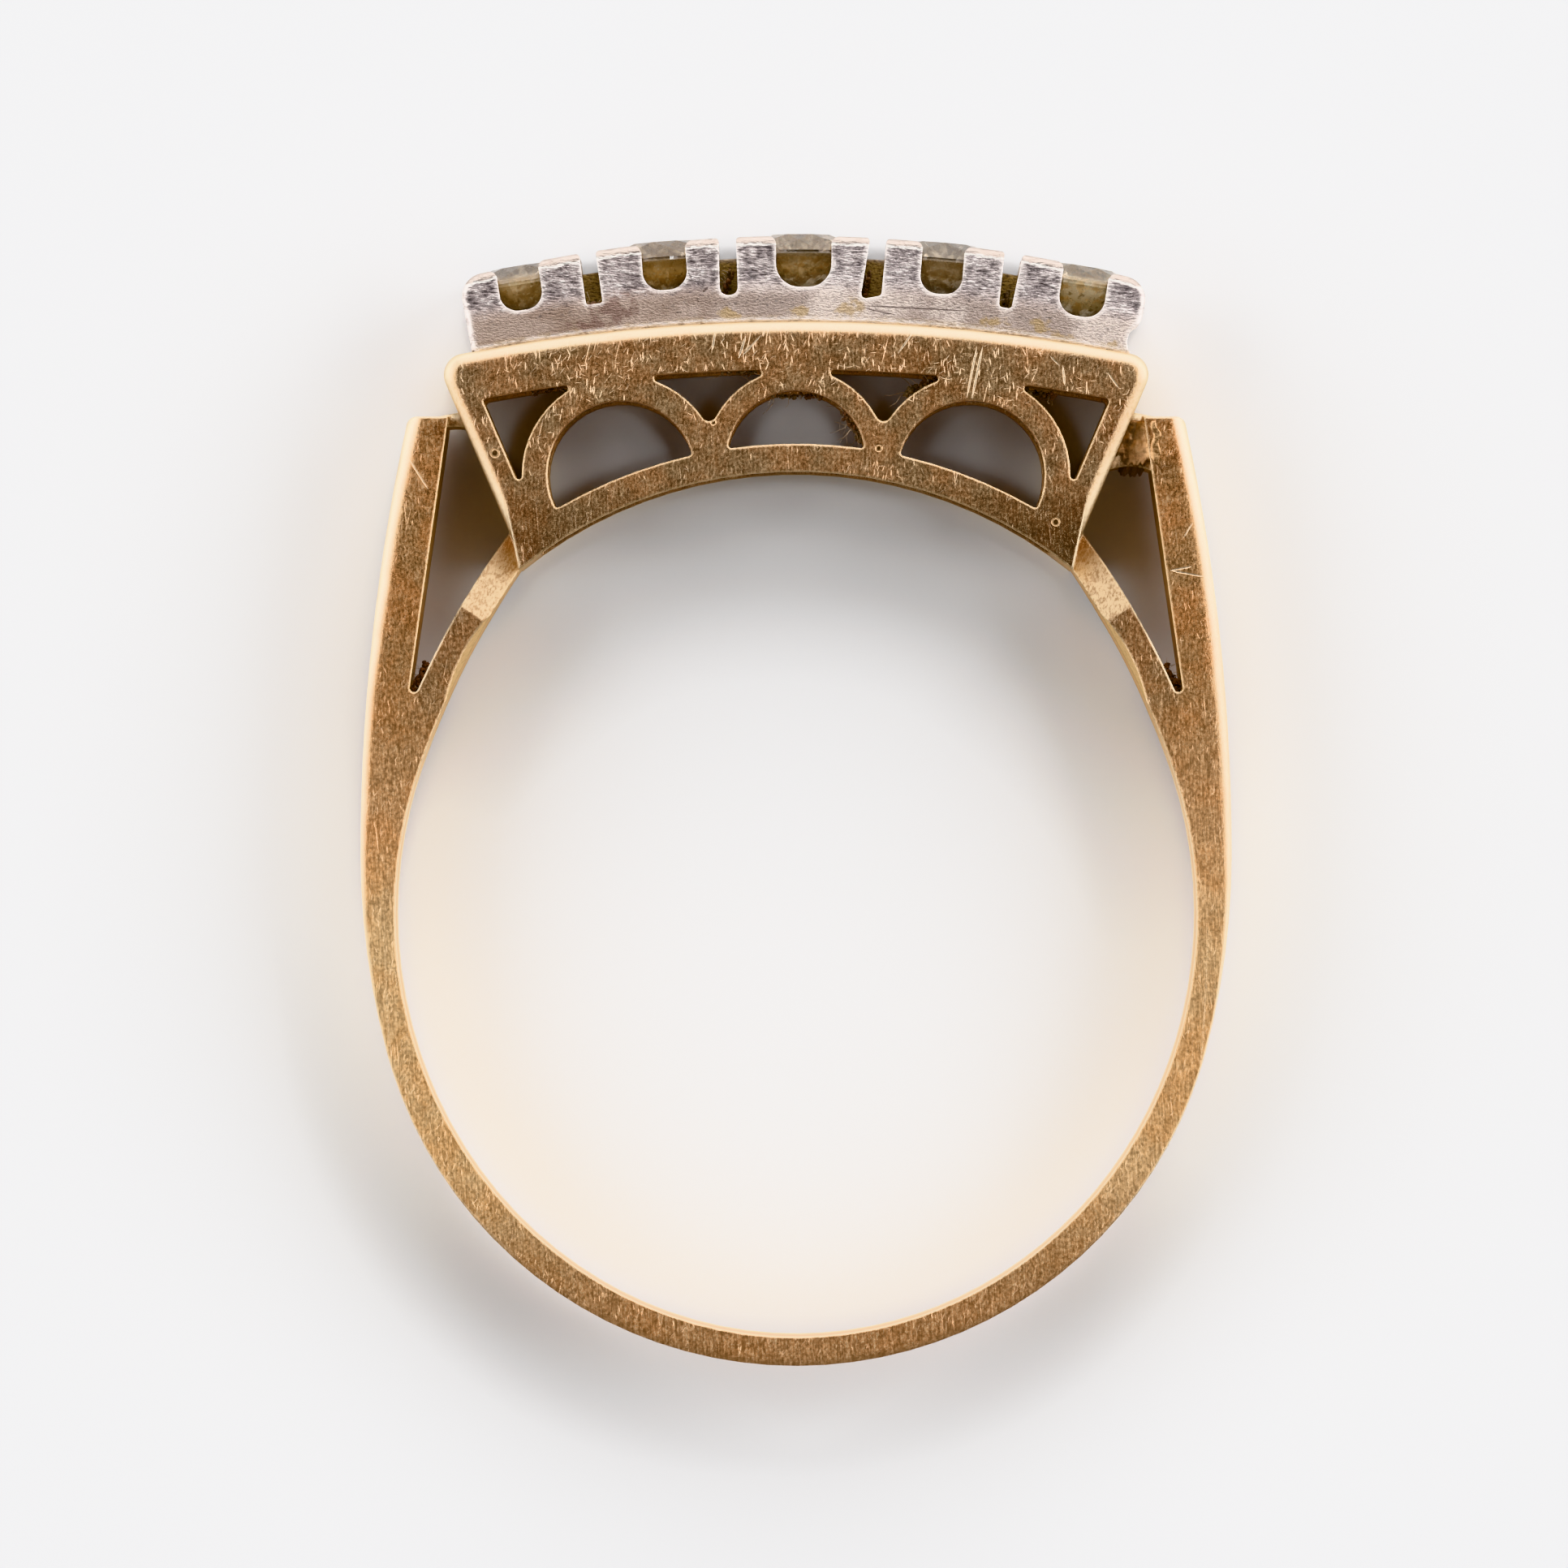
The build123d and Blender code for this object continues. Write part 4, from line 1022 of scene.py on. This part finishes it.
def stone(number, clean, cloud):
    """A clear stone whose lower facets are clouded with old dirt."""
    g = Graph(f"stone_{number}")
    height = g.maths("SUBTRACT", g.bend, GIRDLE_RADIUS)
    below = g.step("below_girdle", height)
    clouded = g.step("stone_dirt", g.grain("stone_dirt"))
    blots = g.most(g.step("stone_blots", g.grain("stone_blots")), g.step("girdle_edge", height))
    flecks = g.step("stone_flecks", g.grain("stone_flecks"))
    shade = g.layer("stone_flecks", flecks, g.blend(clouded, clean, cloud))
    shade = g.layer("stone_blots", blots, shade)
    crown = g.blend(g.step("crown", g.grain("crown")), "crown_pale", "crown_brown")
    rough = g.times(below, g.step("stone_rough", clouded))
    clear = g.times(below, g.step("stone_clear", clouded))
    return g.finish(
        Base_Color=g.blend(below, crown, shade),
        Roughness=g.maths("ADD", rough, STONE_ROUGHNESS),
        IOR=STONE_IOR,
        Transmission_Weight=g.maths("ADD", clear, STONE_CLEAR),
    )


def piece(name, work, material):
    """Turns a mesh in the making, drawn in millimetres, into a piece of the ring."""
    mesh = bpy.data.meshes.new(name)
    bmesh.ops.recalc_face_normals(work, faces=work.faces)
    bmesh.ops.scale(work, vec=(MM, MM, MM), verts=work.verts)
    work.to_mesh(mesh)
    work.free()
    mesh.shade_smooth()
    mesh.materials.append(material)
    made = bpy.data.objects.new(name, mesh)
    bpy.context.collection.objects.link(made)
    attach(made, "root")


def tube(work, rings):
    """Joins rings of equally many points into a closed tube."""
    sides = len(rings[0])
    for low, high in zip(rings, rings[1:]):
        for side in range(sides):
            after = (side + 1) % sides
            work.faces.new((low[side], low[after], high[after], high[side]))
    work.faces.new(rings[0])
    work.faces.new(rings[-1])


def lump(work, middle, size, draws):
    """Adds one rough lump."""
    made = bmesh.ops.create_icosphere(work, subdivisions=2, radius=1.0)
    shift = Vector([draws.uniform(-NOISE_REACH, NOISE_REACH) for axis in range(3)])
    stretch = [size * draws.uniform(*LUMP_STRETCHES) for axis in range(3)]
    for vertex in made["verts"]:
        swell = 1
        for close, height in LUMP_BUMPS:
            swell += height * noise.noise(close * vertex.co + shift)
        vertex.co = middle + Vector([swell * a * b for a, b in zip(vertex.co, stretch)])


def hair(work, start, length, thickness, draws):
    """Adds one bent hair, thinner towards its end."""
    place = start
    way = Vector([draws.uniform(-1, 1) for axis in range(3)]).normalized()
    rings = []
    for index in range(HAIR_STEPS + 1):
        across = way.orthogonal().normalized()
        other = way.cross(across)
        radius = thickness * (1 - HAIR_TAPER * index / HAIR_STEPS) / 2
        ring = []
        for side in range(HAIR_SIDES):
            turn = 2 * pi * side / HAIR_SIDES
            ring.append(work.verts.new(place + radius * (cos(turn) * across + sin(turn) * other)))
        rings.append(ring)
        place = place + way * length / HAIR_STEPS
        bend = Vector([draws.uniform(-HAIR_BEND, HAIR_BEND) for axis in range(3)])
        way = (way + bend).normalized()
    tube(work, rings)


def strewn(row, draws):
    """A random place beside the line that a row of dirt follows."""
    share = draws.random()
    x = row["x"] + share * (row["end_x"] - row["x"])
    y = row["y"] + share * (row["end_y"] - row["y"])
    away = [draws.gauss(0, row["spread"] / 2) for axis in range(2)]
    height = row["z"] + draws.uniform(-DIRT_HALF_DEPTH, DIRT_HALF_DEPTH)
    return Vector((x + away[0], y + away[1], height))


def dirty():
    """Puts lumps of dirt and hairs in the corners."""
    brown, pale = dirt(), lint()
    for number, row in enumerate(rows(DIRT_COLUMNS, DIRT)):
        draws = random.Random(number)
        work = bmesh.new()
        for index in range(row["lumps"]):
            lump(work, strewn(row, draws), row["size"] * draws.uniform(*LUMP_SIZES), draws)
        piece(f"dirt_{row['name']}", work, brown)
        work = bmesh.new()
        for index in range(row["hairs"]):
            start = strewn(row, draws)
            hair(work, start, draws.uniform(*HAIR_LENGTHS), draws.uniform(*HAIR_THICKNESSES), draws)
        piece(f"lint_{row['name']}", work, pale)


def skin_point(share, rise, side):
    """A point of the rough solder: a share of the way to the tine and of the way up its height."""
    ragged = 0.0
    for close, height, start in SKIN_FOOT_WAVES:
        ragged += height * noise.noise(Vector((close * share, 0.0, start)))
    foot = SKIN_FOOT + ragged + SKIN_FOOT_HOLLOW * (2 * share - 1) ** 2
    y = foot + rise * (SKIN_TOP - foot)
    left = SKIN_LEFT + GALLERY_SLANT * (y - SKIN_LEFT_Y)
    right = SKIN_RIGHT + TINE_SLANT * (SKIN_RIGHT_Y - y)
    right += SKIN_RIGHT_WAVE * noise.noise(Vector((0.0, SKIN_RIGHT_WAVES * rise, 1.0)))
    here = Vector((left + share * (right - left), y, 0.0))
    bump = sum(height * noise.noise(close * here) for close, height in SKIN_BUMPS)
    climb = min(1.0, max(0.0, SKIN_CLIMB_RATE * share - SKIN_CLIMB_START))
    swell = SKIN_HALF_DEPTH + SKIN_ROUGHNESS * bump * (1 - SKIN_SMOOTHED * climb) + SKIN_CLIMB * climb
    thin = min(1.0, SKIN_FOOT_RATE * rise + SKIN_FOOT_LEAST, SKIN_TOP_RATE * (SKIN_TOP_END - rise))
    swell = swell * thin
    return Vector((here.x, here.y, MIDDLE_Z + side * swell))


def solder_skin(material):
    """Rough solder that covers the web between the gallery's right side and the outer tine."""
    work = bmesh.new()
    steps = SKIN_STEPS
    layers = []
    for side in (-1, 1):
        grid = []
        for row in range(steps + 1):
            points = [skin_point(column / steps, row / steps, side) for column in range(steps + 1)]
            grid.append([work.verts.new(point) for point in points])
        layers.append(grid)
        for low, high in zip(grid, grid[1:]):
            for column in range(steps):
                work.faces.new((low[column], low[column + 1], high[column + 1], high[column]))
    back, front = layers
    rim = [(0, column) for column in range(steps)] + [(row, steps) for row in range(steps)]
    rim += [(steps, column) for column in range(steps, 0, -1)] + [(row, 0) for row in range(steps, 0, -1)]
    for (row, column), (next_row, next_column) in zip(rim, rim[1:] + rim[:1]):
        pair = (back[row][column], back[next_row][next_column])
        work.faces.new((*pair, front[next_row][next_column], front[row][column]))
    piece("solder_right", work, material)


def solder_seam(material):
    """The thin line of solder that fills the joint between gallery and setting."""
    work = bmesh.new()
    low, high = -SEAM_HALF_HEIGHT, SEAM_HALF_HEIGHT
    section = ((low, SEAM_LOW_Z), (high, SEAM_LOW_Z), (high, SEAM_HIGH_Z), (low, SEAM_HIGH_Z))
    rings = []
    for index in range(SEAM_STEPS + 1):
        turn = SEAM_START + (SEAM_END - SEAM_START) * index / SEAM_STEPS
        ring = []
        for reach, z in section:
            radius = SETTING_FOOT_RADIUS + reach
            ring.append(work.verts.new((radius * sin(turn), BEND_CENTRE_Y + radius * cos(turn), z)))
        rings.append(ring)
    tube(work, rings)
    piece("solder_seam", work, material)


def floor():
    """A plain pale floor, level with the lowest face."""
    mesh = bpy.data.meshes.new("floor")
    half = FLOOR_HALF
    corners = [(-half, -half, 0), (half, -half, 0), (half, half, 0), (-half, half, 0)]
    mesh.from_pydata(corners, [], [(0, 1, 2, 3)])
    plane = bpy.data.objects.new("floor", mesh)
    plane.location.z = cad_box[0].z
    bpy.context.collection.objects.link(plane)
    grey = Graph("floor").finish(Base_Color=FLOOR_COLOUR, Roughness=FLOOR_ROUGHNESS)
    plane.data.materials.append(grey)


def light(name, place, size, power):
    """A soft square light that faces the ring."""
    data = bpy.data.lights.new(name, "AREA")
    data.size = size
    data.energy = power
    lamp = bpy.data.objects.new(name, data)
    lamp.location = place
    lamp.rotation_euler = (-Vector(place)).to_track_quat("-Z", "Y").to_euler()
    bpy.context.collection.objects.link(lamp)


def sky_step(tree, value, start, end, low, high):
    """A smooth step in the surrounding's nodes."""
    made = tree.nodes.new("ShaderNodeMapRange")
    made.interpolation_type = "SMOOTHSTEP"
    for key, number in (("From Min", start), ("From Max", end), ("To Min", low), ("To Max", high)):
        made.inputs[key].default_value = number
    tree.links.new(value, made.inputs["Value"])
    return made.outputs[0]


def sky():
    """A pale surrounding, dim overhead and in front, so that the flat faces don't glare."""
    world = bpy.data.worlds.new("surrounding")
    bpy.context.scene.world = world
    world.use_nodes = True
    tree = world.node_tree
    where = tree.nodes.new("ShaderNodeTexCoord")
    parts = tree.nodes.new("ShaderNodeSeparateXYZ")
    tree.links.new(where.outputs["Generated"], parts.inputs[0])
    strength = tree.nodes.new("ShaderNodeMath")
    strength.operation = "MULTIPLY"
    tree.links.new(sky_step(tree, parts.outputs[2], *SKY_BY_HEIGHT), strength.inputs[0])
    tree.links.new(sky_step(tree, parts.outputs[1], *SKY_BY_SIDE), strength.inputs[1])
    back = tree.nodes["Background"]
    back.inputs["Color"].default_value = SKY_COLOUR
    tree.links.new(strength.outputs[0], back.inputs["Strength"])


def tones():
    """How the light becomes a picture: plain colours with soft highlights."""
    bpy.context.scene.view_settings.view_transform = "Khronos PBR Neutral"


def camera():
    """The camera straight above the ring, framed as the photograph."""
    data = bpy.data.cameras.new("camera")
    data.sensor_width = SENSOR_WIDTH
    data.lens = SENSOR_WIDTH * CAMERA_DISTANCE / FRAME_WIDTH
    data.clip_start = CLIP_START
    data.clip_end = CLIP_END
    eye = bpy.data.objects.new("camera", data)
    eye.location = (CAMERA_X * MM, CAMERA_Y * MM, cad_box[1].z + CAMERA_DISTANCE * MM)
    bpy.context.collection.objects.link(eye)
    bpy.context.scene.camera = eye


def paint(node, material):
    """Gives one of the ring's own pieces a material."""
    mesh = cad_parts[node].data
    mesh.materials.clear()
    mesh.materials.append(material)


def dress():
    """Gives every piece its material and adds the solder and the dirt."""
    paint("ring_body", gold())
    white = white_metal()
    paint("setting", white)
    solder_seam(white)
    solder_skin(solder_metal())
    dirty()
    for number, (clean, cloud) in enumerate(STONES, 1):
        paint(f"stone_{number}", stone(number, clean, cloud))


dress()
floor()
sky()
tones()
for row in rows(LIGHT_COLUMNS, LIGHTS):
    light(**row)
camera()
